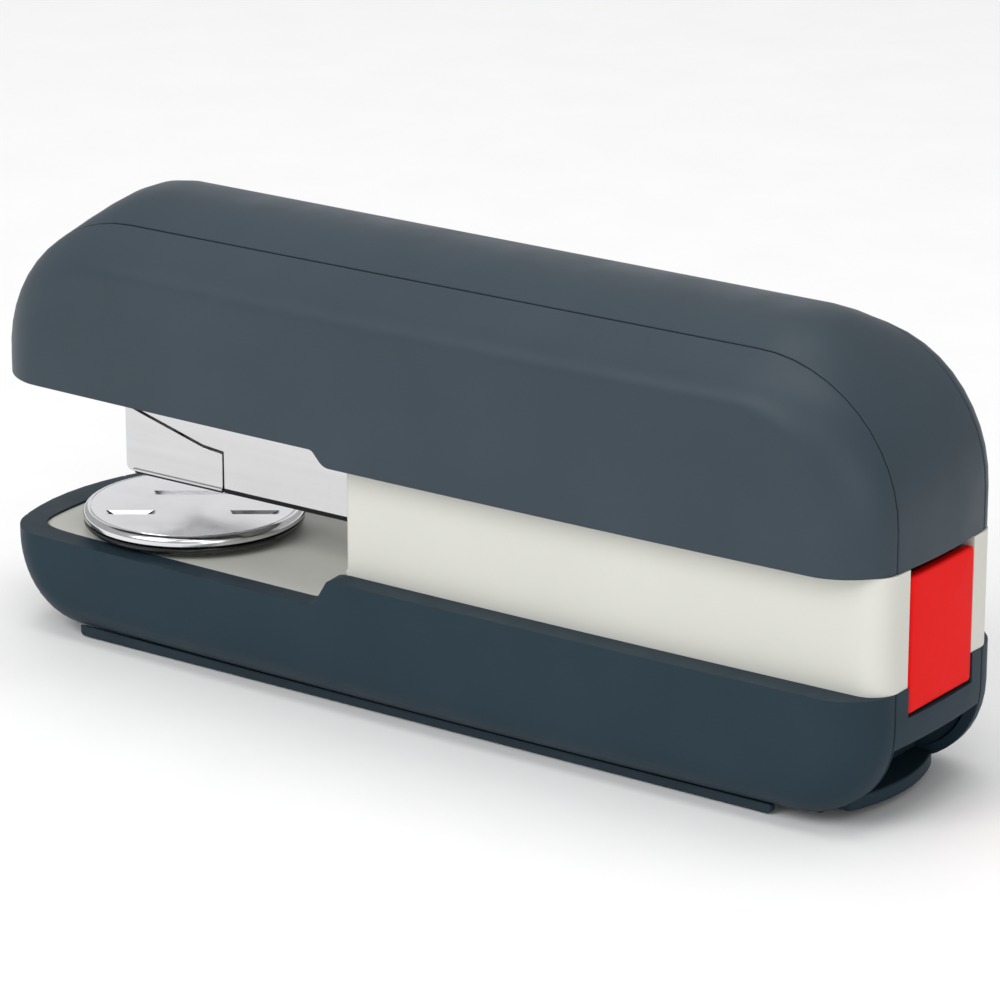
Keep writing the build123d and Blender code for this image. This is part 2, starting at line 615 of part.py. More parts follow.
def driver_blade():
    front = STAPLE_X - 0.4
    return block(front, front + 0.8, -6.3, 6.3, CHANNEL_TOP + 0.4, DRIVER_HOLDER_LOW + 2)


def driver_holder():
    front, rear = DRIVER_HOLDER_X
    holder = block(front, rear, -6.5, 6.5, DRIVER_HOLDER_LOW, DRIVER_HOLDER_TOP)
    return holder - driver_blade()


def drive_rocker():
    """The lever from the crank to the driver. Its rear end is slotted for the crank pin."""
    tip_radius = 2.4
    tip = (-60.0, DRIVER_HOLDER_TOP + 0.6 + tip_radius)
    pin = polar(CAM_AXIS, CRANK_RADIUS, -90)
    px, pz = ROCKER_PIVOT
    reach = sqrt((pin[0] - px) ** 2 + (pin[1] - pz) ** 2)
    bearing = atan2(pin[1] - pz, pin[0] - px)
    middle, far = reach + CRANK_RADIUS * 0.3, reach + CRANK_RADIUS + 2.8
    boss = Pos(px, pz) * Circle(4.5)
    front_arm = make_hull((boss + Pos(*tip) * Circle(tip_radius)).edges())
    rear_arm = Pos(px, pz) * Rot(0, 0, degrees(bearing)) * (
        Pos(far / 2, 0) * Rectangle(far, 2 * SLOT_HALF_HEIGHT + 3.2))
    slot = Pos(px, pz) * Rot(0, 0, degrees(bearing)) * (
        Pos(middle, 0) * SlotOverall(2 * CRANK_RADIUS - 2.0, 2 * SLOT_HALF_HEIGHT))
    face = front_arm + rear_arm - slot - Pos(px, pz) * Circle(PIN_RADIUS + RUNNING)
    return across(face, -ROCKER_HALF_WIDTH, ROCKER_HALF_WIDTH)


# ---------------------------------------------------------------- gear train

def cam_axle():
    """The driven axle with its crank disc, and the crank pin that moves in the rocker's slot."""
    disc_y = (ROCKER_HALF_WIDTH + 0.6, ROCKER_HALF_WIDTH + 3.0)
    axle = rod_y(CAM_AXIS, PIN_RADIUS, disc_y[0], GEAR_Y[1] + 0.5)
    axle += rod_y(CAM_AXIS, CRANK_RADIUS + 2.0, *disc_y)
    pin_place = polar(CAM_AXIS, CRANK_RADIUS, -90)
    return axle + rod_y(pin_place, PIN_RADIUS, -ROCKER_HALF_WIDTH - 0.5, disc_y[0] + 1)


def cam_gear():
    wheel = gear(SECOND_MODULE, CAM_TEETH, PIN_RADIUS, *GEAR_Y, CAM_AXIS, IDLER_BEARING)
    for index in range(5):
        wheel -= rod_y(polar(CAM_AXIS, 8, 72 * index), 2.6, *GEAR_Y)
    return wheel


def idler_gear():
    """A wheel and a pinion in one moulding."""
    half_tooth = 180 / SECOND_PINION_TEETH
    bore = AXLE_RADIUS + RUNNING
    pinion_turn = IDLER_BEARING + 180 + half_tooth
    pinion = gear(SECOND_MODULE, SECOND_PINION_TEETH, bore, GEAR_Y[0], WHEEL_Y[0], IDLER_AXIS, pinion_turn)
    return pinion + gear(FIRST_MODULE, IDLER_TEETH, bore, *WHEEL_Y, IDLER_AXIS, MOTOR_BEARING)


def idler_axle():
    return rod_y(IDLER_AXIS, AXLE_RADIUS, CHASSIS_IN, WHEEL_Y[1] + 0.8)


def motor_pinion():
    turn = MOTOR_BEARING + 180 + 180 / MOTOR_PINION_TEETH
    return gear(FIRST_MODULE, MOTOR_PINION_TEETH, AXLE_RADIUS, *WHEEL_Y, MOTOR_AXIS, turn)


def motor_shaft():
    return rod_y(MOTOR_AXIS, AXLE_RADIUS, MOTOR_REAR_Y - 0.6, WHEEL_Y[1] + 0.2)


def motor_screw_places():
    return [polar(MOTOR_AXIS, 6, bearing) for bearing in (90, -90)]


def motor_can():
    can = rod_y(MOTOR_AXIS, MOTOR_RADIUS, MOTOR_REAR_Y, CHASSIS_IN)
    can -= rod_y(MOTOR_AXIS, AXLE_RADIUS + RUNNING, -20, 20)
    for place in motor_screw_places():
        can -= rod_y(place, FOOT_SCREW_RADIUS, CHASSIS_IN - 3, CHASSIS_IN)
    return can


def motor_screws():
    screws = []
    for place in motor_screw_places():
        shank = rod_y(place, FOOT_SCREW_RADIUS, CHASSIS_IN - 2.8, CHASSIS_OUT)
        screws.append(shank + rod_y(place, 1.6, CHASSIS_OUT, CHASSIS_OUT + 0.9))
    return group(*screws)


# ---------------------------------------------------------------- chassis

def chassis_foot_places():
    """X, distance from the middle plane, and side (+1 left, -1 right) of each chassis foot screw."""
    y = CHASSIS_OUT + 2.2
    return [(-5.5, y, 1), (-5.5, y, -1), (66.0, y, 1)]


def chassis_plate(rear, foot_screws):
    """A left plate that ends at rear, with bent feet where the foot screws go."""
    plate = block(CHASSIS_FRONT, rear, CHASSIS_IN, CHASSIS_OUT, CHASSIS_LOW, CHASSIS_TOP)
    arm_front = ROCKER_PIVOT[0] - 12
    plate += block(arm_front, CHASSIS_FRONT, CHASSIS_IN, CHASSIS_OUT, 46, 60)
    corners = [
        e for e in plate.edges().filter_by(Axis.Y)
        if e.center().X in (arm_front, rear) or e.center().Z > 63
    ]
    plate = fillet(corners, 3)
    for x, y, _side in foot_screws:
        plate += block(x - 3, x + 3, CHASSIS_IN, CHASSIS_OUT, BASE_RIM, CHASSIS_LOW)
        plate += block(x - 3, x + 3, CHASSIS_IN, y + 1.0, BASE_RIM, BASE_RIM + 1.2)
        plate -= rod_z(x, y, FOOT_SCREW_RADIUS, 0, CHASSIS_LOW)
    for place in (HEAD_PIVOT, ROCKER_PIVOT):
        plate -= rod_y(place, PIN_RADIUS + 0.02, 0, 20)
    return plate


def chassis_plate_left():
    """The long plate. It carries the motor, the gear train and the seat of the button spring."""
    feet = [place for place in chassis_foot_places() if place[2] > 0]
    plate = chassis_plate(69, feet)
    plate += block(SPRING_SEAT_X - 1.4, SPRING_SEAT_X, -6, CHASSIS_IN, 30.5, 36)
    plate -= rod_y(CAM_AXIS, PIN_RADIUS + RUNNING, 0, 20)
    plate -= rod_y(MOTOR_AXIS, AXLE_RADIUS + 0.6, 0, 20)
    plate -= rod_y(IDLER_AXIS, AXLE_RADIUS + 0.01, 0, 20)
    plate -= rod_y(SENSOR_PIVOT, SENSOR_PIN_RADIUS + 0.01, 0, 20)
    for place in motor_screw_places():
        plate -= rod_y(place, FOOT_SCREW_RADIUS, 0, 20)
    return plate


def chassis_plate_right():
    feet = [place for place in chassis_foot_places() if place[2] < 0]
    return mirror(chassis_plate(43, feet), Plane.XZ)


def chassis_spacers():
    return group(*[rod_y(place, SPACER_RADIUS, -CHASSIS_IN, CHASSIS_IN) for place in SPACER_PLACES])


def chassis_screws():
    screws = []
    for x, y, side in chassis_foot_places():
        shank = rod_z(x, side * y, FOOT_SCREW_RADIUS - 0.01, BASE_RIM - 1.8, BASE_RIM + 1.2)
        screws.append(shank + rod_z(x, side * y, 1.4, BASE_RIM + 1.2, BASE_RIM + 2.1))
    return group(*screws)


def chassis_pin(place):
    return rod_y(place, PIN_RADIUS, -CHASSIS_OUT - 0.1, CHASSIS_OUT + 0.1)


# ---------------------------------------------------------------- button, switch and board

def release_button():
    """The red rear button: a cap in the rear face, a core and a stop flange behind it."""
    cap = block(
        79.0, BUTTON_FACE, -BUTTON_HALF_WIDTH, BUTTON_HALF_WIDTH, BUTTON_LOW, BUTTON_HIGH)
    cap = fillet(cap.faces().sort_by(Axis.X)[-1].edges(), 0.8)
    cap += block(STOP_X, 79.5, -8, 8, 24, 36)
    return cap + block(STOP_X, STOP_X + STOP_THICKNESS, -10.6, 10.6, 24, 36)


def release_link():
    """The flat bar from the button to the rear end of the magazine."""
    return block(CHANNEL_REAR + 4, STOP_X, -2, 2, 26.5, 29.5)


def release_spring():
    start = SPRING_SEAT_X
    return Pos(start, 0, 33) * Rot(0, 90, 0) * coil(2.2, 0.6, STOP_X - start, 7)


def circuit_board():
    board = block(6, 61, -13.5, 13.5, BASE_RIM, BASE_RIM + 1.4)
    for x, y, length in ((12, -8, 6), (24, 3, 8), (40, -4, 9), (52, 6, 5)):
        board += block(x, x + length, y, y + 4, BASE_RIM + 1, BASE_RIM + 2.4)
    return board


def micro_switch():
    """The switch over the paper sensor, with its plunger."""
    x, z = SENSOR_PIVOT[0], SENSOR_PIVOT[1] + 3.5
    case = block(x - 2.9, x + 3, CHASSIS_OUT, CHASSIS_OUT + 3.3, z, z + 6)
    return case + block(x - 0.8, x + 0.8, CHASSIS_OUT + 1, CHASSIS_OUT + 2.2, z - 0.8, z + 1)


def sensor_pin():
    return rod_y(SENSOR_PIVOT, SENSOR_PIN_RADIUS, CHASSIS_IN, SENSOR_Y[1] + 0.6)


def sensor_lever():
    """The paper sensor: a hub, an arm and a toe that reaches through the band into the mouth."""
    x, z = SENSOR_PIVOT
    lever = rod_y(SENSOR_PIVOT, 2.0, *SENSOR_Y)
    lever += block(x - 1.2, x + 1.2, *SENSOR_Y, 24, z)
    lever += block(x - 9, x + 1.2, *SENSOR_Y, 24, 27)
    toe = [e for e in lever.edges().filter_by(Axis.Y) if e.center().X < x - 8]
    return fillet(toe, 1.3) - rod_y(SENSOR_PIVOT, SENSOR_PIN_RADIUS + RUNNING, 0, 20)


# ---------------------------------------------------------------- files

SHELL = upper_shell()
PIECES = {
    "upper_centre_cover": centre_cover(SHELL),
    "upper_side_cover_right": side_cover(SHELL),
    "upper_side_cover_left": mirror(side_cover(SHELL), Plane.XZ),
    "mouth_roof": mouth_roof(),
    "mid_housing": mid_housing(),
    "paper_tray": paper_tray(),
    "base_tub": base_tub(),
    "housing_screws": housing_screws(),
    "foot_rail_right": foot_rail(),
    "foot_rail_left": mirror(foot_rail(), Plane.XZ),
    "battery_cells": battery_cells(),
    "battery_contacts": battery_contacts(),
    "battery_door": battery_door(),
    "anvil_ring": anvil_ring(),
    "anvil_disc": anvil_disc(),
    "anvil_rivet": anvil_rivet(),
    "anvil_washer": anvil_washer(),
    "magazine_nose": magazine_nose(),
    "head_cradle": head_cradle(),
    "cradle_strips": both_sides(cradle_strip()),
    "head_return_springs": head_return_springs(),
    "head_pivot_pin": chassis_pin(HEAD_PIVOT),
    "magazine_channel": magazine_channel(),
    "staple_rail": staple_rail(),
    "pusher_rod": pusher_rod(),
    "staple_strip": staple_strip(),
    "staple_pusher": staple_pusher(),
    "pusher_spring": pusher_spring(),
    "driver_blade": driver_blade(),
    "driver_holder": driver_holder(),
    "drive_rocker": drive_rocker(),
    "rocker_pivot_pin": chassis_pin(ROCKER_PIVOT),
    "cam_axle": cam_axle(),
    "cam_gear": cam_gear(),
    "idler_gear": idler_gear(),
    "idler_axle": idler_axle(),
    "motor_pinion": motor_pinion(),
    "motor_shaft": motor_shaft(),
    "motor_can": motor_can(),
    "motor_screws": motor_screws(),
    "chassis_plate_left": chassis_plate_left(),
    "chassis_plate_right": chassis_plate_right(),
    "chassis_spacers": chassis_spacers(),
    "chassis_screws": chassis_screws(),
    "release_button": release_button(),
    "release_link": release_link(),
    "release_spring": release_spring(),
    "circuit_board": circuit_board(),
    "micro_switch": micro_switch(),
    "sensor_pin": sensor_pin(),
    "sensor_lever": sensor_lever(),
}

os.makedirs("parts", exist_ok=True)
for node, piece in PIECES.items():
    export_step(piece, f"parts/{node}.step")
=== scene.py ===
import json
from math import atan2, ceil, cos, hypot, pi, radians, sin

import bmesh
import bpy
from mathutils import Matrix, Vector


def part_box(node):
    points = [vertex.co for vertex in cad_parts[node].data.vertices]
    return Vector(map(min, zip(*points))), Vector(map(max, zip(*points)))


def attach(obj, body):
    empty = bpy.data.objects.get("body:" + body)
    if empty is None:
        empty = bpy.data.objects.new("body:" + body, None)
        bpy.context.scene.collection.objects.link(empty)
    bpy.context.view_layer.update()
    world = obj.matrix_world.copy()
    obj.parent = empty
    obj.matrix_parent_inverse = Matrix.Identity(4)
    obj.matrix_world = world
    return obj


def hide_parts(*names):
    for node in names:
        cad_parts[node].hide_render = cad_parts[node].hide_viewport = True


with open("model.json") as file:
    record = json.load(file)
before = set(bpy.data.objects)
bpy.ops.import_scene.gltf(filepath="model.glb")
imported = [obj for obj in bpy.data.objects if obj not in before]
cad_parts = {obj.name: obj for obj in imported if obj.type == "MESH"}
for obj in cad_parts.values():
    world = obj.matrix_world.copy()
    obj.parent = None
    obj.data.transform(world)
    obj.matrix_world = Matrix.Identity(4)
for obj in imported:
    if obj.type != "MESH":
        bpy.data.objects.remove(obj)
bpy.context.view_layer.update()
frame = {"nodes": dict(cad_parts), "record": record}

# Electric desk stapler. Shapes are drawn in millimetres and turned into metres when a piece is made.
# The mouth is at -X, the release button at +X, and "right" is -Y.
MM = 0.001


def size_of(node):
    """Lowest and highest corner of a CAD node, in millimetres."""
    low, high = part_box(node)
    return [v / MM for v in low], [v / MM for v in high]


BASE_LOW, BASE_HIGH = size_of("base_tub")
COVER_LOW, COVER_HIGH = size_of("upper_centre_cover")
BAND_LOW, BAND_HIGH = size_of("mid_housing")
TRAY_LOW, TRAY_HIGH = size_of("paper_tray")
DISC_LOW, DISC_HIGH = size_of("anvil_disc")
RING_LOW, RING_HIGH = size_of("anvil_ring")
BUTTON_LOW, BUTTON_HIGH = size_of("release_button")
ROOF_LOW, ROOF_HIGH = size_of("mouth_roof")
DOOR_LOW, DOOR_HIGH = size_of("battery_door")

# ---- Outer body ----
HALF_LENGTH = BASE_HIGH[0]
HALF_WIDTH = BASE_HIGH[1]
TOP = COVER_HIGH[2]
WIDEST_X = 13.0
SIDE_RADIUS = 2850.0         # the sides are very flat arcs seen from above
FRONT_SEAM = -HALF_LENGTH + 0.1   # where the seam lines run down the ends
REAR_SEAM = HALF_LENGTH - 0.5

# ---- Upper shell ----
SHELL_BOTTOM = COVER_LOW[2]
MOUTH_BOTTOM = SHELL_BOTTOM + 2.4
SHELL_STEP = ((-16.4, MOUTH_BOTTOM), (-14.2, SHELL_BOTTOM))
SHELL_FRONT_REACH, SHELL_REAR_REACH = 24.2, 23.6
SHELL_SHOULDER = 45.5        # where the ends' curves begin
SHELL_SEAM_TOP = TOP - 1.1
SHELL_CROWNS = {"top": 3.77, "taper": 0.006, "front": 1.05, "rear": 0.7, "fade": 12}
SEAM_Y, SEAM_GAP = 12.2, 0.2
SHELL_ROUND, SHELL_CORNER = 7.3, 9.9   # from the seam to where the walls are upright
SHELL_WALL = 2.0

# ---- Base ----
RIM = BASE_HIGH[2]
MOUTH_RIM = 16.6
BASE_STEP = ((-16.5, MOUTH_RIM), (-13.6, RIM))
BASE_END = 14.0
BASE_CROWNS = {"top": 0.0, "taper": 0.0, "front": 1.9, "rear": 0.6, "fade": 2}
BASE_ROUND = 6.0             # along the bottom edges
BASE_CORNER = 7.5            # at the ends
LEDGE = 4.0
BASE_WALL = 1.6
RECESS_FRONT = DOOR_HIGH[0] - 4.7
RECESS_TOP = 12.4
DOOR_SIDE = DOOR_HIGH[1] - 1.2
DOOR_HIGH_PLATE = BASE_LOW[2] + 1.6
LEAF_SIDE = SEAM_Y - 0.6
LEAF_TIP, LEAF_CURVE = HALF_LENGTH - 5.3, 0.018
LEAF_TOP = BASE_LOW[2] + 2.2

# ---- Button ----
BUTTON_SIDE = 8.75
BUTTON_ROOM_X = BUTTON_LOW[0] + 0.3   # the opening leaves room for the whole press


# ================================================================ mesh helpers

def new_piece(name, mesh_data, body, slot, *nodes):
    """Turns a bmesh in millimetres into a piece that rides on a body and stands for CAD nodes."""
    mesh = bpy.data.meshes.new(name)
    bmesh.ops.scale(mesh_data, vec=(MM, MM, MM), verts=mesh_data.verts)
    bmesh.ops.recalc_face_normals(mesh_data, faces=mesh_data.faces)
    mesh_data.to_mesh(mesh)
    mesh_data.free()
    piece = bpy.data.objects.new(name, mesh)
    bpy.context.scene.collection.objects.link(piece)
    mesh.materials.append(MATERIALS[slot])
    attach(piece, body)
    for node in nodes:
        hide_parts(node)
    return piece


def settle(piece, sharp=38):
    """Applies a piece's modifiers and shades it smooth, apart from its sharp edges."""
    depsgraph = bpy.context.evaluated_depsgraph_get()
    baked = bpy.data.meshes.new_from_object(piece.evaluated_get(depsgraph))
    piece.modifiers.clear()
    piece.data = baked
    for polygon in baked.polygons:
        polygon.use_smooth = True
    baked.set_sharp_from_angle(angle=radians(sharp))
    weighted = piece.modifiers.new("weighted", "WEIGHTED_NORMAL")
    weighted.keep_sharp = True
    return piece


def thicken(piece, wall, even=True):
    shell = piece.modifiers.new("wall", "SOLIDIFY")
    shell.thickness = wall * MM
    shell.offset = -1
    shell.use_even_offset = even
    shell.use_quality_normals = True


def soften(piece, width, segments=3, angle=40):
    """Rounds the edges of a piece."""
    bevel = piece.modifiers.new("round", "BEVEL")
    bevel.width = width * MM
    bevel.segments = segments
    bevel.limit_method = "ANGLE"
    bevel.angle_limit = radians(angle)
    bevel.use_clamp_overlap = True


def cut(piece, *cutters):
    """Takes cutters, bmeshes in millimetres, out of a piece."""
    for cutter in cutters:
        bmesh.ops.scale(cutter, vec=(MM, MM, MM), verts=cutter.verts)
        bmesh.ops.recalc_face_normals(cutter, faces=cutter.faces)
        mesh = bpy.data.meshes.new("cutter")
        cutter.to_mesh(mesh)
        cutter.free()
        tool = bpy.data.objects.new("cutter", mesh)
        bpy.context.scene.collection.objects.link(tool)
        difference = piece.modifiers.new("cut", "BOOLEAN")
        difference.operation = "DIFFERENCE"
        difference.solver = "EXACT"
        difference.object = tool
        depsgraph = bpy.context.evaluated_depsgraph_get()
        piece.data = bpy.data.meshes.new_from_object(piece.evaluated_get(depsgraph))
        piece.modifiers.clear()
        bpy.data.objects.remove(tool)


def open_up(mesh, low, high):
    """Cuts a box-shaped opening into a skin."""
    for axis in range(3):
        normal = [0, 0, 0]
        normal[axis] = 1
        for corner in (low, high):
            everything = mesh.verts[:] + mesh.edges[:] + mesh.faces[:]
            bmesh.ops.bisect_plane(mesh, geom=everything, plane_co=corner, plane_no=normal)
    inside = []
    for face in mesh.faces:
        middle = face.calc_center_median()
        if all(low[k] < middle[k] < high[k] for k in range(3)):
            inside.append(face)
    bmesh.ops.delete(mesh, geom=inside, context="FACES")


def skin(rows, closed=False):
    """A surface through rows of points. The rows can join up into rings."""
    mesh = bmesh.new()
    grid = [[mesh.verts.new(p) for p in row] for row in rows]
    for first, second in zip(grid, grid[1:]):
        pairs = list(zip(first, first[1:], second, second[1:]))
        if closed:
            pairs.append((first[-1], first[0], second[-1], second[0]))
        for a, b, c, d in pairs:
            mesh.faces.new((a, b, d, c))
    return mesh


def welded(mesh, distance=0.002):
    bmesh.ops.remove_doubles(mesh, verts=mesh.verts, dist=distance)
    return mesh


def mirrored(mesh):
    """Adds the mirror image of a mesh in the XZ plane and joins the two."""
    copy = bmesh.ops.duplicate(mesh, geom=mesh.verts[:] + mesh.edges[:] + mesh.faces[:])["geom"]
    for vert in [g for g in copy if isinstance(g, bmesh.types.BMVert)]:
        vert.co.y = -vert.co.y
    bmesh.ops.reverse_faces(mesh, faces=[g for g in copy if isinstance(g, bmesh.types.BMFace)])
    return welded(mesh)


def prism(outline, low, high, axis="z"):
    """A closed outline pushed along an axis. Outlines along y hold X and Z, and along x hold Y and Z."""
    place = {
        "z": lambda a, b, t: (a, b, t),
        "y": lambda a, b, t: (a, t, b),
        "x": lambda a, b, t: (t, a, b),
    }[axis]
    mesh = skin([[place(a, b, t) for a, b in outline] for t in (low, high)], closed=True)
    mesh.verts.ensure_lookup_table()
    count = len(outline)
    mesh.faces.new(mesh.verts[:count])
    mesh.faces.new(mesh.verts[count:])
    return mesh


def block(x0, x1, y0, y1, z0, z1):
    return prism([(x0, y0), (x1, y0), (x1, y1), (x0, y1)], z0, z1)


def joined(*meshes):
    """Several bmeshes as one."""
    whole = bmesh.new()
    for part in meshes:
        holder = bpy.data.meshes.new("holder")
        part.to_mesh(holder)
        part.free()
        whole.from_mesh(holder)
        bpy.data.meshes.remove(holder)
    return whole


def lathe(profile, centre=(0.0, 0.0), steps=160):
    """A closed solid of revolution about +Z from (radius, height) pairs that start and end on the axis."""
    rows = []
    for radius, height in profile:
        turn = [2 * pi * k / steps for k in range(steps)]
        rows.append([(centre[0] + radius * cos(a), centre[1] + radius * sin(a), height) for a in turn])
    return welded(skin(rows, closed=True))


def spread(start, end, count):
    return [start + (end - start) * k / (count - 1) for k in range(count)]


def rounded_path(corners, steps=8, closed=False):
    """A path through (x, y, radius) corners, with an arc at each corner that has a radius."""
    path = []
    count = len(corners)
    for k, (x, y, radius) in enumerate(corners):
        if not radius or (not closed and k in (0, count - 1)):
            path.append((x, y))
            continue
        here = Vector((x, y))
        back = (Vector(corners[k - 1][:2]) - here).normalized()
        ahead = (Vector(corners[(k + 1) % count][:2]) - here).normalized()
        half = back.angle(ahead) / 2
        centre = here + (back + ahead).normalized() * radius / sin(half)
        first = here + back * radius * cos(half) / sin(half) - centre
        last = here + ahead * radius * cos(half) / sin(half) - centre
        turn = atan2(first.x * last.y - first.y * last.x, first.dot(last))
        for share in spread(0, 1, steps):
            c, s = cos(turn * share), sin(turn * share)
            path.append((centre.x + first.x * c - first.y * s, centre.y + first.x * s + first.y * c))
    return path


def filled(path, gap):
    """The same path with extra points, so that no two are further apart than gap."""
    full = [path[0]]
    for a, b in zip(path, path[1:]):
        parts = max(1, ceil(hypot(b[0] - a[0], b[1] - a[1]) / gap - 0.001))
        for k in range(1, parts + 1):
            full.append((a[0] + (b[0] - a[0]) * k / parts, a[1] + (b[1] - a[1]) * k / parts))
    return full


# ================================================================ the body's outline

def side_y(x, inset=0.0):
    """Half-width of the body at x."""
    return HALF_WIDTH - inset - (x - WIDEST_X) ** 2 / (2 * SIDE_RADIUS)


def waist(inset, x0, x1, front_corner, rear_corner):
    """Seen from above: the body's outline between x0 and x1, inset, with round corners."""
    half = side_y(WIDEST_X, inset)
    corners = [
        (x0, -half, front_corner), (x1, -half, rear_corner),
        (x1, half, rear_corner), (x0, half, front_corner),
    ]
    loop = rounded_path(corners, steps=9, closed=True)
    loop = filled(loop + loop[:1], 6.0)[:-1]
    return [(x, y * side_y(x, inset) / half) for x, y in loop]


class Loaf:
    """A long body with quarter-ellipse ends, set out along its seam lines.

    Up is +1 for the shell, and -1 for the base, which hangs down.
    """

    def __init__(self, up, crest, shoulder, edges, reaches, corner, crowns, ends):
        self.up, self.crest, self.shoulder, self.crowns = up, crest, shoulder, crowns
        self.rise = abs(crest - shoulder)
        self.front_edge, self.rear_edge = edges
        self.front_reach, self.rear_reach = reaches
        self.front_x, self.rear_x = ends
        self.front_wall = self.front_x + corner      # the wall's lines end between these two
        self.rear_wall = self.rear_x - corner
        self.flat = 50.0                             # and fan out beyond this

    def end(self, share, x_end, reach, edge):
        """A point on an end with its inward normal. Share runs from the open edge to the crest."""
        upright = abs(self.shoulder - edge)
        arc = (reach + self.rise) / 2 * pi / 2
        inward = 1 if x_end < 0 else -1
        run = share * (upright + arc)
        if run <= upright:
            return (x_end, edge + self.up * run), (inward, 0.0)
        angle = (run - upright) / arc * pi / 2
        centre_x = x_end + inward * reach
        point = (centre_x - inward * reach * cos(angle), self.shoulder + self.up * self.rise * sin(angle))
        normal = Vector((inward * cos(angle) / reach, -self.up * sin(angle) / self.rise)).normalized()
        return point, (normal.x, normal.y)

    def station(self, x):
        """The seam point and normal that belong to the wall's edge point at x."""
        if x < -self.flat:
            share = (x - self.front_wall) / (-self.flat - self.front_wall)
            return self.end(share, self.front_x, self.front_reach, self.front_edge)
        if x > self.flat:
            share = (self.rear_wall - x) / (self.rear_wall - self.flat)
            return self.end(share, self.rear_x, self.rear_reach, self.rear_edge)
        crest_front = self.front_x + self.front_reach
        crest_rear = self.rear_x - self.rear_reach
        share = (x + self.flat) / (2 * self.flat)
        return (crest_front + share * (crest_rear - crest_front), self.crest), (0.0, -self.up)

    def crown(self, x, normal):
        """How far the middle bulges out past the seams."""
        flat = normal[1] ** self.crowns["fade"]
        end = self.crowns["front"] if normal[0] > 0 else self.crowns["rear"]
        return (self.crowns["top"] - self.crowns["taper"] * x) * flat + end * (1 - flat)


def arch(crown, y):
    """Depth below the seam line at y, for a middle that bulges out by crown."""
    return crown * ((y / SEAM_Y) ** 2 - 1)


def offset_point(point, normal, depth, y):
    return (point[0] + normal[0] * depth, y, point[1] + normal[1] * depth)


def shoulder(start, slope, end, steps):
    """A curve of (y, depth) points that leaves start at a slope and arrives at end upright."""
    width, depth = end[0] - start[0], end[1] - start[1]
    pull = 0.4 * width
    bend = [start, (start[0] + pull, start[1] + pull * slope), (end[0], start[1] + 0.5 * depth), end]
    curve = []
    for t in spread(0, 1, steps):
        shares = ((1 - t) ** 3, 3 * t * (1 - t) ** 2, 3 * t * t * (1 - t), t ** 3)
        curve.append(tuple(sum(w * p[k] for w, p in zip(shares, bend)) for k in (0, 1)))
    return curve


def wall_row(start, edge_point, steps):
    """Points down the wall from the end of the shoulder to the open edge."""
    row = []
    for share in spread(0, 1, steps)[1:]:
        x = start[0] + share * (edge_point[0] - start[0])
        z = start[2] + share * (edge_point[1] - start[2])
        row.append((x, side_y(x), z))
    return row


# ================================================================ upper shell

SHELL = Loaf(
    1, SHELL_SEAM_TOP, SHELL_SHOULDER, (MOUTH_BOTTOM, SHELL_BOTTOM), (SHELL_FRONT_REACH, SHELL_REAR_REACH),
    SHELL_CORNER, SHELL_CROWNS, (FRONT_SEAM, REAR_SEAM))


def shell_edge():
    """The lower edge of the shell's sides, with its step behind the mouth."""
    corners = [
        (SHELL.front_wall, MOUTH_BOTTOM, 0), (*SHELL_STEP[0], 1.4), (*SHELL_STEP[1], 2.5),
        (SHELL.rear_wall, SHELL_BOTTOM, 0),
    ]
    return filled(rounded_path(corners), 1.6)


def centre_row(edge_x):
    """Across the centre cover, from the middle to the seam."""
    point, normal = SHELL.station(edge_x)
    crown = SHELL.crown(point[0], normal)
    row = []
    for y in spread(0, SEAM_Y - SEAM_GAP / 2, 10):
        row.append(offset_point(point, normal, arch(crown, y), y))
    return row


def side_row(edge_point):
    """Across a side cover, from the seam round the edge and down the wall."""
    point, normal = SHELL.station(edge_point[0])
    crown = SHELL.crown(point[0], normal)
    corner = SHELL_ROUND + (SHELL_CORNER - SHELL_ROUND) * normal[0] ** 2
    width = side_y(point[0] + normal[0] * corner)
    start = (SEAM_Y + SEAM_GAP / 2, 0.0)
    row = []
    for y, depth in shoulder(start, 2 * crown / SEAM_Y, (width, corner), 16):
        row.append(offset_point(point, normal, depth, y))
    return row + wall_row(row[-1], edge_point, 11)


def make_shell():
    edge = shell_edge()
    centre = mirrored(skin([centre_row(x) for x, _z in edge]))
    piece = new_piece("centre_cover", centre, "housing", "shell_plastic", "upper_centre_cover")
    thicken(piece, SHELL_WALL)
    soften(piece, 0.22)
    settle(piece)
    for side, name in ((1, "left"), (-1, "right")):
        rows = [[(x, side * y, z) for x, y, z in side_row(point)] for point in edge]
        node = f"upper_side_cover_{name}"
        piece = new_piece(f"side_cover_{name}", welded(skin(rows)), "housing", "shell_plastic", node)
        thicken(piece, SHELL_WALL)
        soften(piece, 0.22)
        settle(piece)


def make_shell_lip():
    """The inward flange of the shell's lower edge, seen from below round the cream band."""
    low, high = SHELL_BOTTOM + 0.15, SHELL_BOTTOM + 1.6
    outer = waist(SHELL_WALL - 0.4, BAND_LOW[0] - 0.3, HALF_LENGTH - 1.9, 0.5, 6.0)
    inner = waist(LEDGE + 0.6, BAND_LOW[0] - 0.2, HALF_LENGTH - 3.6, 0.5, 4.0)
    piece = new_piece("shell_lip", ring(outer, inner, low, high), "housing", "shell_plastic")
    settle(piece)


def ring(outer, inner, low, high):
    """A wall between two outlines with the same number of points."""
    rows = [
        [(x, y, low) for x, y in outer], [(x, y, high) for x, y in outer],
        [(x, y, high) for x, y in inner], [(x, y, low) for x, y in inner],
        [(x, y, low) for x, y in outer],
    ]
    return welded(skin(rows, closed=True))


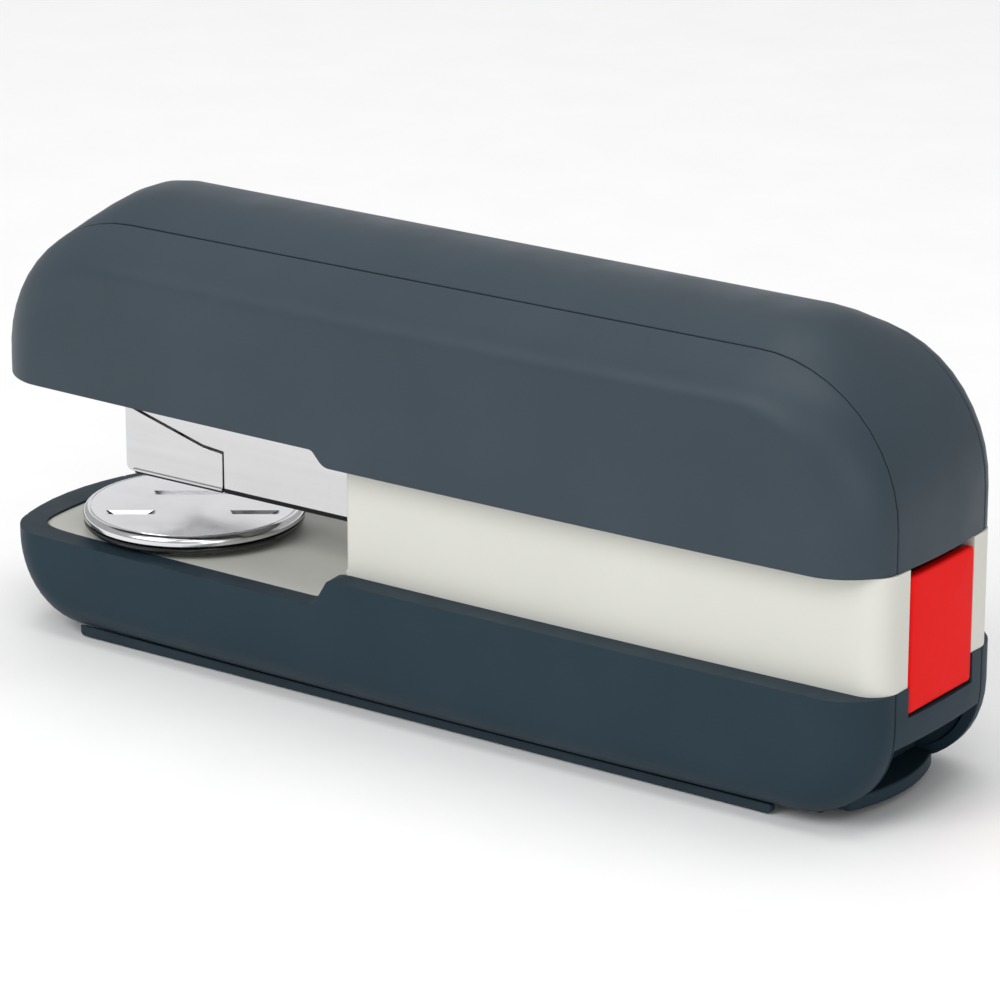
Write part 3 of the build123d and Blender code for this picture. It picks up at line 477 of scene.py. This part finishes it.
def make_mouth_roof():
    low, high = ROOF_LOW[2], ROOF_HIGH[2]
    outline = waist(SHELL_WALL + 0.2, ROOF_LOW[0], ROOF_HIGH[0], 6.0, 0.3)
    piece = new_piece("mouth_roof_plate", prism(outline, low, high), "housing", "dark_insert", "mouth_roof")
    cut(piece, block(-69.6, 0, -8.4, 8.4, low - 5, high + 5))
    soften(piece, 0.3)
    settle(piece)


# ================================================================ base

BASE = Loaf(
    -1, BASE_LOW[2], BASE_LOW[2] + BASE_END, (MOUTH_RIM, RIM), (BASE_END, BASE_END),
    BASE_CORNER, BASE_CROWNS, (FRONT_SEAM + 1.0, REAR_SEAM + 0.3))
GROOVE_WIDTH, GROOVE_DEPTH = 0.2, 0.5


def base_row(edge_point):
    """Across half of the base, from the middle of the bottom to the rim."""
    point, normal = BASE.station(edge_point[0])
    upright = normal[0] ** 2
    crown = BASE.crown(point[0], normal)
    depth = BASE_ROUND + (BASE_CORNER - BASE_ROUND) * upright
    width = side_y(point[0] + normal[0] * depth)
    bend_y = SEAM_Y + 1.0 + (width - BASE_ROUND - SEAM_Y - 1.0) * (1 - upright)
    row = []
    by_seam = [SEAM_Y + step for step in (-0.6, -GROOVE_WIDTH, 0, GROOVE_WIDTH, 0.6)]
    for y in [0, 4, 8, 11] + by_seam:
        row.append(offset_point(point, normal, arch(crown, y), y))
    start = (bend_y, arch(crown, SEAM_Y + 1.0))
    for y, inside in shoulder(start, 2 * crown / SEAM_Y, (width, depth), 12):
        row.append(offset_point(point, normal, inside, y))
    return row + wall_row(row[-1], edge_point, 5)


def seam_grooves(verts):
    """Pushes the seam lines of both ends a little inward."""
    for vert in verts:
        x, y, z = vert.co
        on_end = abs(x) > HALF_LENGTH - BASE_END and abs(abs(y) - SEAM_Y) < 0.01
        if on_end:
            share = min(1.0, (z - BASE_LOW[2]) / BASE_END * 1.6)
            vert.co.x -= GROOVE_DEPTH * share * (1 if x > 0 else -1)


def add_rim(mesh):
    """Turns the open edge of the base inward into the flat rim, and then down."""
    edges = [e for e in mesh.edges if e.is_boundary]
    outer = ordered(edges)
    count = len(outer)
    places = []
    apart = 5                                        # neighbours this far off give a smooth direction
    for k, vert in enumerate(outer):
        along = outer[(k + apart) % count].co.xy - outer[k - apart].co.xy
        across = Vector((-along.y, along.x)).normalized()
        if across.dot(Vector((WIDEST_X, 0)) - vert.co.xy) < 0:
            across = -across
        under_band = vert.co.x > BASE_STEP[1][0]
        places.append(vert.co.xy + across * (LEDGE + (0.6 if under_band else 0.0)))
    for _turn in range(30):                          # evens out the inner corners
        places = [(places[k - 1] + 2 * places[k] + places[(k + 1) % count]) / 4 for k in range(count)]
    inner, foot = [], []
    for place, vert in zip(places, outer):
        drop = 2.6 if vert.co.x > BASE_STEP[1][0] else 3.4
        inner.append(mesh.verts.new((*place, vert.co.z)))
        foot.append(mesh.verts.new((*place, vert.co.z - drop)))
    for first, second in ((outer, inner), (inner, foot)):
        for k in range(count):
            j = (k + 1) % count
            mesh.faces.new((first[k], first[j], second[j], second[k]))
    return mesh


def ordered(edges):
    """The vertices of a closed loop of edges, in order."""
    start = edges[0]
    path = [start.verts[0], start.verts[1]]
    waiting = set(edges[1:])
    while waiting:
        step = next(e for e in path[-1].link_edges if e in waiting)
        waiting.remove(step)
        path.append(step.other_vert(path[-1]))
    return path[:-1]


def make_base():
    corners = [
        (BASE.front_wall, MOUTH_RIM, 0), (*BASE_STEP[0], 2.5), (*BASE_STEP[1], 0.7), (BASE.rear_wall, RIM, 0),
    ]
    edge = filled(rounded_path(corners), 1.8)
    mesh = mirrored(welded(skin([base_row(point) for point in edge])))
    outside = list(mesh.verts)
    add_rim(mesh)
    seam_grooves(outside)
    door_side = DOOR_SIDE + 0.3
    recess_side = SEAM_Y - 0.3
    button_side = BUTTON_SIDE + 0.25
    beyond = HALF_LENGTH + 5
    open_up(mesh, (DOOR_LOW[0] - 0.8, -door_side, 0), (RECESS_FRONT, door_side, 4))
    open_up(mesh, (RECESS_FRONT, -recess_side, 0), (beyond, recess_side, RECESS_TOP))
    open_up(mesh, (BUTTON_ROOM_X, -button_side, BUTTON_LOW[2] - 0.4), (beyond, button_side, RIM + 1))
    welded(mesh, 0.03)
    piece = new_piece("base_shell", mesh, "housing", "base_plastic", "base_tub")
    thicken(piece, BASE_WALL, even=False)
    soften(piece, 0.3, 2, angle=50)
    settle(piece)


def end_curve(inset, start, end, steps=12):
    """The curve of the base's rear end seen from the side, between two angles in degrees."""
    centre_x, reach = BASE.rear_x - BASE.rear_reach, BASE.rear_reach - inset
    curve = []
    for angle in spread(radians(start), radians(end), steps):
        curve.append((centre_x + reach * cos(angle), BASE.shoulder - (BASE_END - inset) * sin(angle)))
    return curve


def make_door():
    """The battery door: a plate with a hinge barrel, and a finger leaf with a curved edge."""
    top, side = DOOR_HIGH_PLATE, DOOR_SIDE
    plate = block(DOOR_LOW[0] + 1.1, RECESS_FRONT, -side, side, BASE_LOW[2], top)
    barrel = prism([(DOOR_LOW[0] + 1.1 + 1.1 * cos(a), BASE_LOW[2] + 1.2 + 1.1 * sin(a))
                    for a in spread(0, 2 * pi, 25)[:-1]], -side, side, "y")
    outline = [(LEAF_TIP - LEAF_CURVE * y * y, y) for y in spread(-LEAF_SIDE, LEAF_SIDE, 21)]
    outline += [(RECESS_FRONT - 4, LEAF_SIDE), (RECESS_FRONT - 4, -LEAF_SIDE)]
    leaf = prism(outline, BASE_LOW[2], LEAF_TOP)
    mesh = joined(plate, barrel, leaf)
    piece = new_piece("battery_door_plate", mesh, "door", "base_plastic", "battery_door")
    soften(piece, 0.4, 3)
    settle(piece)


def make_recess():
    """The walls of the finger recess under the rear end."""
    front, side, thick = RECESS_FRONT, SEAM_Y - 0.3, 1.4
    curve = end_curve(1.0, 0, 75)
    low_z = curve[-1][1]
    cheek = [(front - thick, RECESS_TOP + thick), (curve[0][0], RECESS_TOP + thick)]
    cheek += curve[1:] + [(front - thick, low_z)]
    walls = [prism(cheek, -side - thick, -side, "y"), prism(cheek, side, side + thick, "y")]
    walls.append(block(front - thick, curve[1][0], -side, side, RECESS_TOP, RECESS_TOP + thick))
    walls.append(block(front - thick, front, -side, side, BASE_LOW[2] + 2.2, RECESS_TOP))
    piece = new_piece("recess_walls", joined(*walls), "housing", "base_plastic")
    soften(piece, 0.15, 2)
    settle(piece)


# ================================================================ cream parts

def make_band():
    low, high = RIM, SHELL_BOTTOM - 0.05
    rear, front = BAND_HIGH[0], BAND_LOW[0]
    outer = waist(LEDGE, front, rear, 1.0, 4.3)
    inner = waist(LEDGE + 2, front + 2, rear - 3.6, 0.6, 2.4)
    if len(outer) != len(inner):
        inner = matched(inner, len(outer))
    mesh = ring(outer, inner, low, high)
    piece = new_piece("cream_band", mesh, "housing", "cream_plastic", "mid_housing")
    cut(
        piece,
        block(front - 5, front + 5, -8.1, 8.1, low + 0.8, high + 5),
        block(front - 5, front + 5, 10.9, 13.1, low + 0.8, low + 9.8),
        block(rear - 12, rear + 5, -9.0, 9.0, low - 5, high + 5),
    )
    soften(piece, 0.35)
    settle(piece)


def matched(loop, count):
    """The same loop with a given number of points, evenly spaced by length."""
    lengths = [0.0]
    ends = loop + loop[:1]
    for a, b in zip(ends, ends[1:]):
        lengths.append(lengths[-1] + hypot(b[0] - a[0], b[1] - a[1]))
    result = []
    k = 0
    for step in range(count):
        goal = lengths[-1] * step / count
        while lengths[k + 1] < goal:
            k += 1
        share = (goal - lengths[k]) / (lengths[k + 1] - lengths[k])
        a, b = ends[k], ends[k + 1]
        result.append((a[0] + share * (b[0] - a[0]), a[1] + share * (b[1] - a[1])))
    return result


def make_apron():
    """The front wall of the band goes on down to the paper tray."""
    front = BAND_LOW[0]
    side = side_y(front, LEDGE + 0.1)
    mesh = block(front, front + 1.9, -side, side, TRAY_HIGH[2] - 0.5, RIM + 0.9)
    piece = new_piece("band_apron", mesh, "housing", "cream_plastic")
    soften(piece, 0.3)
    settle(piece)


def make_tray():
    outline = waist(LEDGE + 0.05, TRAY_LOW[0], TRAY_HIGH[0], 2.6, 0.3)
    mesh = prism(outline, TRAY_LOW[2], TRAY_HIGH[2])
    piece = new_piece("tray_plate", mesh, "housing", "cream_plastic", "paper_tray")
    soften(piece, 0.2)
    settle(piece)


# ================================================================ anvil

ANVIL_X = (DISC_LOW[0] + DISC_HIGH[0]) / 2
ANVIL_RADIUS = (DISC_HIGH[1] - DISC_LOW[1]) / 2
GROOVE_TURN = radians(35.5)


def staple_groove(x0, x1, y, top, depth):
    """A groove with sloping walls and ends, turned with the anvil."""
    c, s = cos(GROOVE_TURN), sin(GROOVE_TURN)
    rows = []
    for level, half, ramp in ((top + 1, 1.0, 0.0), (top, 1.0, 0.0), (top - depth, 0.6, 1.3)):
        loop = rounded_path([
            (x0 + ramp, y - half, 0.4), (x1 - ramp, y - half, 0.4),
            (x1 - ramp, y + half, 0.4), (x0 + ramp, y + half, 0.4)], 5, True)
        rows.append([(ANVIL_X + a * c - b * s, a * s + b * c, level) for a, b in loop])
    mesh = skin(rows, closed=True)
    mesh.verts.ensure_lookup_table()
    count = len(rows[0])
    mesh.faces.new(mesh.verts[:count])
    mesh.faces.new(mesh.verts[-count:])
    return mesh


def make_disc():
    top, low = DISC_HIGH[2], DISC_LOW[2]
    rim = ANVIL_RADIUS
    profile = [(0, top), (6, top), (12, top), (rim - 1.25, top)]
    profile += [(rim - 1.15, top - 0.12), (rim - 1.0, top - 0.02)]      # a fine line inside the rounded rim
    profile += [(rim - 1.0 + sin(a), top - 0.02 - 1.0 * (1 - cos(a))) for a in spread(0.15, pi / 2, 8)]
    profile += [(rim, top - 1.45), (rim - 0.3, top - 1.7), (rim - 2.7, top - 1.7)]
    profile += [(rim - 2.7, low + 0.1), (0, low + 0.1)]
    piece = new_piece("anvil_plate", lathe(profile, (ANVIL_X, 0)), "anvil", "anvil_steel", "anvil_disc")
    for x0, x1, y in ((-7, 7, 5.2), (-13.9, -5.9, -4.8), (5.9, 13.9, -4.8)):
        cut(piece, staple_groove(x0, x1, y, top, 0.7))
    settle(piece, 25)


def make_anvil_ring():
    low, high = RING_LOW[2] + 0.3, RING_HIGH[2] + 0.1
    outer = ANVIL_RADIUS - 0.1
    profile = [(0, low), (15.2, low), (15.5, low + 0.5), (outer - 0.9, low + 0.5), (outer - 0.3, low + 0.7)]
    profile += [(outer, low + 1.1), (outer, high - 0.2), (outer - 0.2, high), (outer - 2.3, high)]
    profile += [(outer - 2.3, low + 0.7), (0, low + 0.7)]
    piece = new_piece("anvil_saucer", lathe(profile, (ANVIL_X, 0)), "housing", "black_plastic", "anvil_ring")
    settle(piece, 30)


def make_rivet():
    low, high = size_of("anvil_rivet")
    top = high[2]
    profile = [(0, top), (2.2, top), (2.45, top - 0.06), (2.6, top - 0.25), (2.6, top - 0.6)]
    profile += [(2.0, top - 0.6), (2.0, low[2] + 0.8), (3.4, low[2] + 0.8), (3.4, low[2]), (0, low[2])]
    mesh = lathe(profile, (ANVIL_X, 0), 64)
    piece = new_piece("anvil_rivet_turned", mesh, "housing", "bare_steel", "anvil_rivet")
    settle(piece, 30)


# ================================================================ button

def make_button():
    face = BUTTON_HIGH[0]
    half, low, high = BUTTON_SIDE, BUTTON_LOW[2], BUTTON_HIGH[2]
    rows = []
    for inset, x in ((0, face - 1.4), (0, face - 0.4), (0.06, face - 0.2), (0.2, face - 0.06), (0.4, face),
                     (2.5, face + 0.06), (5.0, face + 0.12), (8.0, face + 0.15)):
        corner = max(0.1, 0.6 - inset * 0.2)
        y, z0, z1 = half - inset, low + inset, high - inset
        loop = rounded_path([(-y, z0, corner), (y, z0, corner), (y, z1, corner), (-y, z1, corner)], 6, True)
        rows.append([(x, a, b) for a, b in loop])
    cap = skin(rows, closed=True)
    cap.verts.ensure_lookup_table()
    count = len(rows[0])
    cap.faces.new(cap.verts[:count])
    cap.faces.new(cap.verts[-count:])
    core = block(BUTTON_LOW[0], face - 1.3, -8, 8, 20, 35)
    flange = block(BUTTON_LOW[0], BUTTON_LOW[0] + 1.9, -10.6, 10.6, 24, 36)
    piece = new_piece("rear_button", joined(cap, core, flange), "button", "red_plastic", "release_button")
    settle(piece, 45)


# ================================================================ CAD pieces with rounded edges

BODY_OF = {node: body for body, nodes in frame["record"]["behaviour"]["bodies"].items() for node in nodes}
SLOT_OF = {part["node"]: part["material_slot"] for part in frame["record"]["subparts"]}


def refined(node, width, segments=2):
    """A copy of a CAD node with its flat faces joined up and its edges rounded."""
    mesh = bmesh.new()
    mesh.from_mesh(frame["nodes"][node].data)
    bmesh.ops.scale(mesh, vec=(1 / MM, 1 / MM, 1 / MM), verts=mesh.verts)
    welded(mesh, 0.004)
    bmesh.ops.dissolve_limit(
        mesh, angle_limit=radians(0.8), use_dissolve_boundaries=False, verts=mesh.verts, edges=mesh.edges)
    piece = new_piece(f"{node}_fine", mesh, BODY_OF[node], SLOT_OF[node], node)
    soften(piece, width, segments)
    return settle(piece)


REFINED = {
    "magazine_nose": 0.14, "head_cradle": 0.14, "cradle_strips": 0.15, "foot_rail_right": 0.3,
    "foot_rail_left": 0.3, "magazine_channel": 0.08, "staple_rail": 0.1, "staple_pusher": 0.15,
    "driver_blade": 0.08, "driver_holder": 0.3, "drive_rocker": 0.3,
    "circuit_board": 0.08, "micro_switch": 0.15, "release_link": 0.2, "sensor_lever": 0.15,
    "staple_strip": 0.08,
}


def make_refined():
    for node, width in REFINED.items():
        refined(node, width)


# ================================================================ the head's lower edges

NOSE_LOW, NOSE_HIGH = size_of("magazine_nose")
LIP_HEIGHT, LIP_REACH = 0.45, 0.3
# Height of the dark strips that paint the shadow under the nose lips.
SHADOW_STRIP_HEIGHT = 0.3


def edge_strip(side, x0, x1, low, height, reach, inward):
    """A thin strip along one of the head's lower edges. Inward is how far it goes into the wall."""
    wall = side * NOSE_HIGH[1]
    near, far = sorted((wall + side * reach, wall - side * inward))
    return block(x0, x1, near, far, low, low + height)


def make_nose_lips():
    """The nose plate's lower edge is folded outward, over dark strips that paint the shadow in the gap under
    each fold.
    """
    front, rear, low = NOSE_LOW[0] + 1.4, NOSE_HIGH[0], NOSE_LOW[2]
    lips, shadow_strips = [], []
    for side in (1, -1):
        lips.append(edge_strip(side, front, rear, low, LIP_HEIGHT, LIP_REACH, 0.6))
        # Dark strip below each lip: painted shadow under the folded edge, not a real part.
        shadow_strips.append(edge_strip(side, front + 0.4, rear, low - SHADOW_STRIP_HEIGHT, SHADOW_STRIP_HEIGHT, 0.1, 0.8))
    piece = new_piece("nose_lips", joined(*lips), BODY_OF["magazine_nose"], "chrome_plate")
    soften(piece, 0.12, 2)
    settle(piece)
    # The strips take the dark insert material to paint the shadow under the lips.
    piece = new_piece("nose_lip_painted_shadows", joined(*shadow_strips), BODY_OF["magazine_nose"], "dark_insert")
    settle(piece)


# ================================================================ materials

def node_tree(name):
    material = bpy.data.materials.new(name)
    material.use_nodes = True
    tree = material.node_tree
    return material, tree, tree.nodes["Principled BSDF"]


def noise(tree, scale, detail=4.0, stretch=(1, 1, 1)):
    """Noise in object space. Its features are about 1 / scale metres wide."""
    place = tree.nodes.new("ShaderNodeTexCoord")
    mapping = tree.nodes.new("ShaderNodeMapping")
    mapping.inputs["Scale"].default_value = stretch
    texture = tree.nodes.new("ShaderNodeTexNoise")
    texture.inputs["Scale"].default_value = scale
    texture.inputs["Detail"].default_value = detail
    tree.links.new(place.outputs["Object"], mapping.inputs["Vector"])
    tree.links.new(mapping.outputs["Vector"], texture.inputs["Vector"])
    return texture.outputs["Fac"]


def ranged(tree, source, low, high):
    """Source, mostly 0.3 to 0.7, spread over low to high."""
    spread_out = tree.nodes.new("ShaderNodeMapRange")
    spread_out.inputs["From Min"].default_value = 0.3
    spread_out.inputs["From Max"].default_value = 0.7
    spread_out.inputs["To Min"].default_value = low
    spread_out.inputs["To Max"].default_value = high
    tree.links.new(source, spread_out.inputs["Value"])
    return spread_out.outputs["Result"]


def tinted(tree, source, dark, light):
    ramp = tree.nodes.new("ShaderNodeValToRGB")
    ramp.color_ramp.elements[0].position = 0.3
    ramp.color_ramp.elements[0].color = (*dark, 1)
    ramp.color_ramp.elements[1].position = 0.7
    ramp.color_ramp.elements[1].color = (*light, 1)
    tree.links.new(source, ramp.inputs["Fac"])
    return ramp.outputs["Color"]


def bumped(tree, shader, source, strength, depth):
    bump = tree.nodes.new("ShaderNodeBump")
    bump.inputs["Strength"].default_value = strength
    bump.inputs["Distance"].default_value = depth * MM
    tree.links.new(source, bump.inputs["Height"])
    tree.links.new(bump.outputs["Normal"], shader.inputs["Normal"])


def scaled(color, factor):
    return tuple(min(1.0, c * factor) for c in color)


def moulded(name, color, rough, grain, change=0.06, specular=0.5):
    """Moulded plastic: faint clouding, uneven gloss and a fine spark-eroded grain."""
    material, tree, shader = node_tree(name)
    clouds = noise(tree, 45, 3)
    tree.links.new(tinted(tree, clouds, scaled(color, 1 - change), scaled(color, 1 + change)),
                   shader.inputs["Base Color"])
    tree.links.new(ranged(tree, noise(tree, 160, 5), rough - 0.04, rough + 0.05), shader.inputs["Roughness"])
    shader.inputs["Specular IOR Level"].default_value = specular
    bumped(tree, shader, noise(tree, 2600, 2), grain, 0.03)
    return material


def metal(name, color, rough, brush, stretch, change=0.05):
    """Metal with brush lines: noise drawn out along one axis."""
    material, tree, shader = node_tree(name)
    lines = noise(tree, 700, 3, stretch)
    tree.links.new(tinted(tree, lines, scaled(color, 1 - change), scaled(color, 1 + change)),
                   shader.inputs["Base Color"])
    tree.links.new(ranged(tree, noise(tree, 120, 4), rough - 0.03, rough + 0.05), shader.inputs["Roughness"])
    shader.inputs["Metallic"].default_value = 1.0
    bumped(tree, shader, lines, brush, 0.01)
    return material


def turned_steel(name, color, rough):
    """The anvil's plate: faint rings round its middle, under a polish."""
    material, tree, shader = node_tree(name)
    place = tree.nodes.new("ShaderNodeTexCoord")
    shift = tree.nodes.new("ShaderNodeVectorMath")
    shift.operation = "SUBTRACT"
    shift.inputs[1].default_value = (ANVIL_X * MM, 0, DISC_HIGH[2] * MM)
    length = tree.nodes.new("ShaderNodeVectorMath")
    length.operation = "LENGTH"
    rings = tree.nodes.new("ShaderNodeTexNoise")
    rings.noise_dimensions = "1D"
    rings.inputs["Scale"].default_value = 4000
    tree.links.new(place.outputs["Object"], shift.inputs[0])
    tree.links.new(shift.outputs["Vector"], length.inputs[0])
    tree.links.new(length.outputs["Value"], rings.inputs["W"])
    tree.links.new(tinted(tree, noise(tree, 70, 3), scaled(color, 0.94), scaled(color, 1.04)),
                   shader.inputs["Base Color"])
    tree.links.new(ranged(tree, noise(tree, 200, 4), rough - 0.03, rough + 0.06), shader.inputs["Roughness"])
    shader.inputs["Metallic"].default_value = 1.0
    bumped(tree, shader, rings.outputs["Fac"], 0.12, 0.01)
    return material


def colour_of(slot):
    return next(tuple(m["base_color"][:3]) for m in frame["record"]["materials"] if m["slot"] == slot)


CREAM = scaled(colour_of("cream_plastic"), 0.97)
CHROME = scaled(colour_of("chrome_plate"), 0.82)
ALONG_X = (0.02, 1, 1)
ALONG_Z = (1, 1, 0.02)
SLATE, DEEP_SLATE = (0.035, 0.052, 0.067), (0.019, 0.037, 0.051)
RED = (0.84, 0.010, 0.009)
MATERIALS = {
    "shell_plastic": moulded("shell_plastic", SLATE, 0.46, 0.10, specular=0.25),
    "base_plastic": moulded("base_plastic", DEEP_SLATE, 0.48, 0.10, specular=0.12),
    "cream_plastic": moulded("cream_plastic", CREAM, 0.50, 0.06, 0.02, 0.35),
    "red_plastic": moulded("red_plastic", RED, 0.42, 0.05, 0.03, 0.04),
    "chrome_plate": metal("chrome_plate", CHROME, 0.22, 0.10, ALONG_X, 0.03),
    "anvil_steel": turned_steel("anvil_steel", colour_of("anvil_steel"), 0.18),
    "bare_steel": metal("bare_steel", colour_of("bare_steel"), 0.32, 0.2, ALONG_X),
    "zinc_sheet": metal("zinc_sheet", colour_of("zinc_sheet"), 0.42, 0.15, (1, 1, 1), 0.12),
    "black_plastic": moulded("black_plastic", colour_of("black_plastic"), 0.16, 0.02),
    "dark_insert": moulded("dark_insert", scaled(colour_of("dark_insert"), 0.4), 0.55, 0.12, specular=0.2),
    "foot_rubber": moulded("foot_rubber", scaled(DEEP_SLATE, 0.85), 0.75, 0.3, 0.15, 0.3),
    "white_nylon": moulded("white_nylon", colour_of("white_nylon"), 0.42, 0.05, 0.02),
    "brass_metal": metal("brass_metal", colour_of("brass_metal"), 0.28, 0.15, ALONG_Z),
    "spring_steel": metal("spring_steel", colour_of("spring_steel"), 0.3, 0.1, (1, 1, 1)),
    "board_green": moulded("board_green", colour_of("board_green"), 0.3, 0.05, 0.2),
    "cell_wrap": moulded("cell_wrap", colour_of("cell_wrap"), 0.25, 0.02, 0.1),
}


def paint_cad_nodes():
    """Gives every CAD node the material of its slot, shown or not."""
    for node, piece in frame["nodes"].items():
        piece.data.materials.clear()
        piece.data.materials.append(MATERIALS[SLOT_OF[node]])
        for polygon in piece.data.polygons:
            polygon.material_index = 0


# ================================================================ studio

# Places and sizes in the studio are in metres.
CAMERA_AZIMUTH, CAMERA_ELEVATION = radians(35.5), radians(18.4)
CAMERA_DISTANCE = 0.7176
CAMERA_LENS = 169.2
CAMERA_TARGET = Vector((0.0041, 0.0, 0.0321))
FLOOR_REACH, FLOOR_LEVEL = 6.0, -0.0002


def make_camera():
    look = Vector((
        -sin(CAMERA_AZIMUTH) * cos(CAMERA_ELEVATION),
        cos(CAMERA_AZIMUTH) * cos(CAMERA_ELEVATION),
        -sin(CAMERA_ELEVATION),
    ))
    data = bpy.data.cameras.new("camera")
    data.lens = CAMERA_LENS
    data.sensor_width = 36.0
    data.clip_start, data.clip_end = 0.01, 50.0
    camera = bpy.data.objects.new("camera", data)
    camera.location = CAMERA_TARGET - look * CAMERA_DISTANCE
    camera.rotation_euler = look.to_track_quat("-Z", "Y").to_euler()
    bpy.context.scene.collection.objects.link(camera)
    bpy.context.scene.camera = camera


def make_light(name, place, size, power, shade=(1.0, 1.0, 1.0)):
    """A square soft box that looks at the object."""
    data = bpy.data.lights.new(name, "AREA")
    data.shape = "SQUARE"
    data.size = size
    data.energy = power
    data.color = shade
    lamp = bpy.data.objects.new(name, data)
    lamp.location = place
    aim = Vector((0, 0, 0.03)) - Vector(place)
    lamp.rotation_euler = aim.to_track_quat("-Z", "Y").to_euler()
    bpy.context.scene.collection.objects.link(lamp)


def make_floor():
    mesh = bmesh.new()
    corners = [(-1, -1), (1, -1), (1, 1), (-1, 1)]
    mesh.faces.new([mesh.verts.new((x * FLOOR_REACH, y * FLOOR_REACH, FLOOR_LEVEL)) for x, y in corners])
    data = bpy.data.meshes.new("floor")
    mesh.to_mesh(data)
    mesh.free()
    floor = bpy.data.objects.new("floor", data)
    bpy.context.scene.collection.objects.link(floor)
    data.materials.append(moulded("floor_paper", (0.92, 0.92, 0.92), 0.85, 0.05, 0.01, 0.1))


def make_world():
    world = bpy.data.worlds.new("studio")
    world.use_nodes = True
    world.node_tree.nodes["Background"].inputs["Color"].default_value = (1.0, 1.0, 1.0, 1)
    world.node_tree.nodes["Background"].inputs["Strength"].default_value = 0.45
    bpy.context.scene.world = world


def make_studio():
    make_world()
    make_floor()
    make_light("key", (-0.3, -1.1, 0.95), 0.8, 9.0)
    make_light("front", (0.75, -1.05, 1.2), 0.6, 2.5)
    make_light("overhead", (0.0, 0.1, 1.5), 1.2, 10.0)
    make_light("edge", (1.3, -0.9, 0.35), 0.5, 3.0)
    make_light("back", (-1.0, 1.4, 0.6), 1.1, 1.6)
    make_camera()
    bpy.context.scene.view_settings.view_transform = "Standard"


# ================================================================ the scene

make_shell()
make_shell_lip()
make_mouth_roof()
make_base()
make_recess()
make_door()
make_band()
make_apron()
make_tray()
make_disc()
make_anvil_ring()
make_rivet()
make_button()
make_refined()
make_nose_lips()
paint_cad_nodes()
make_studio()
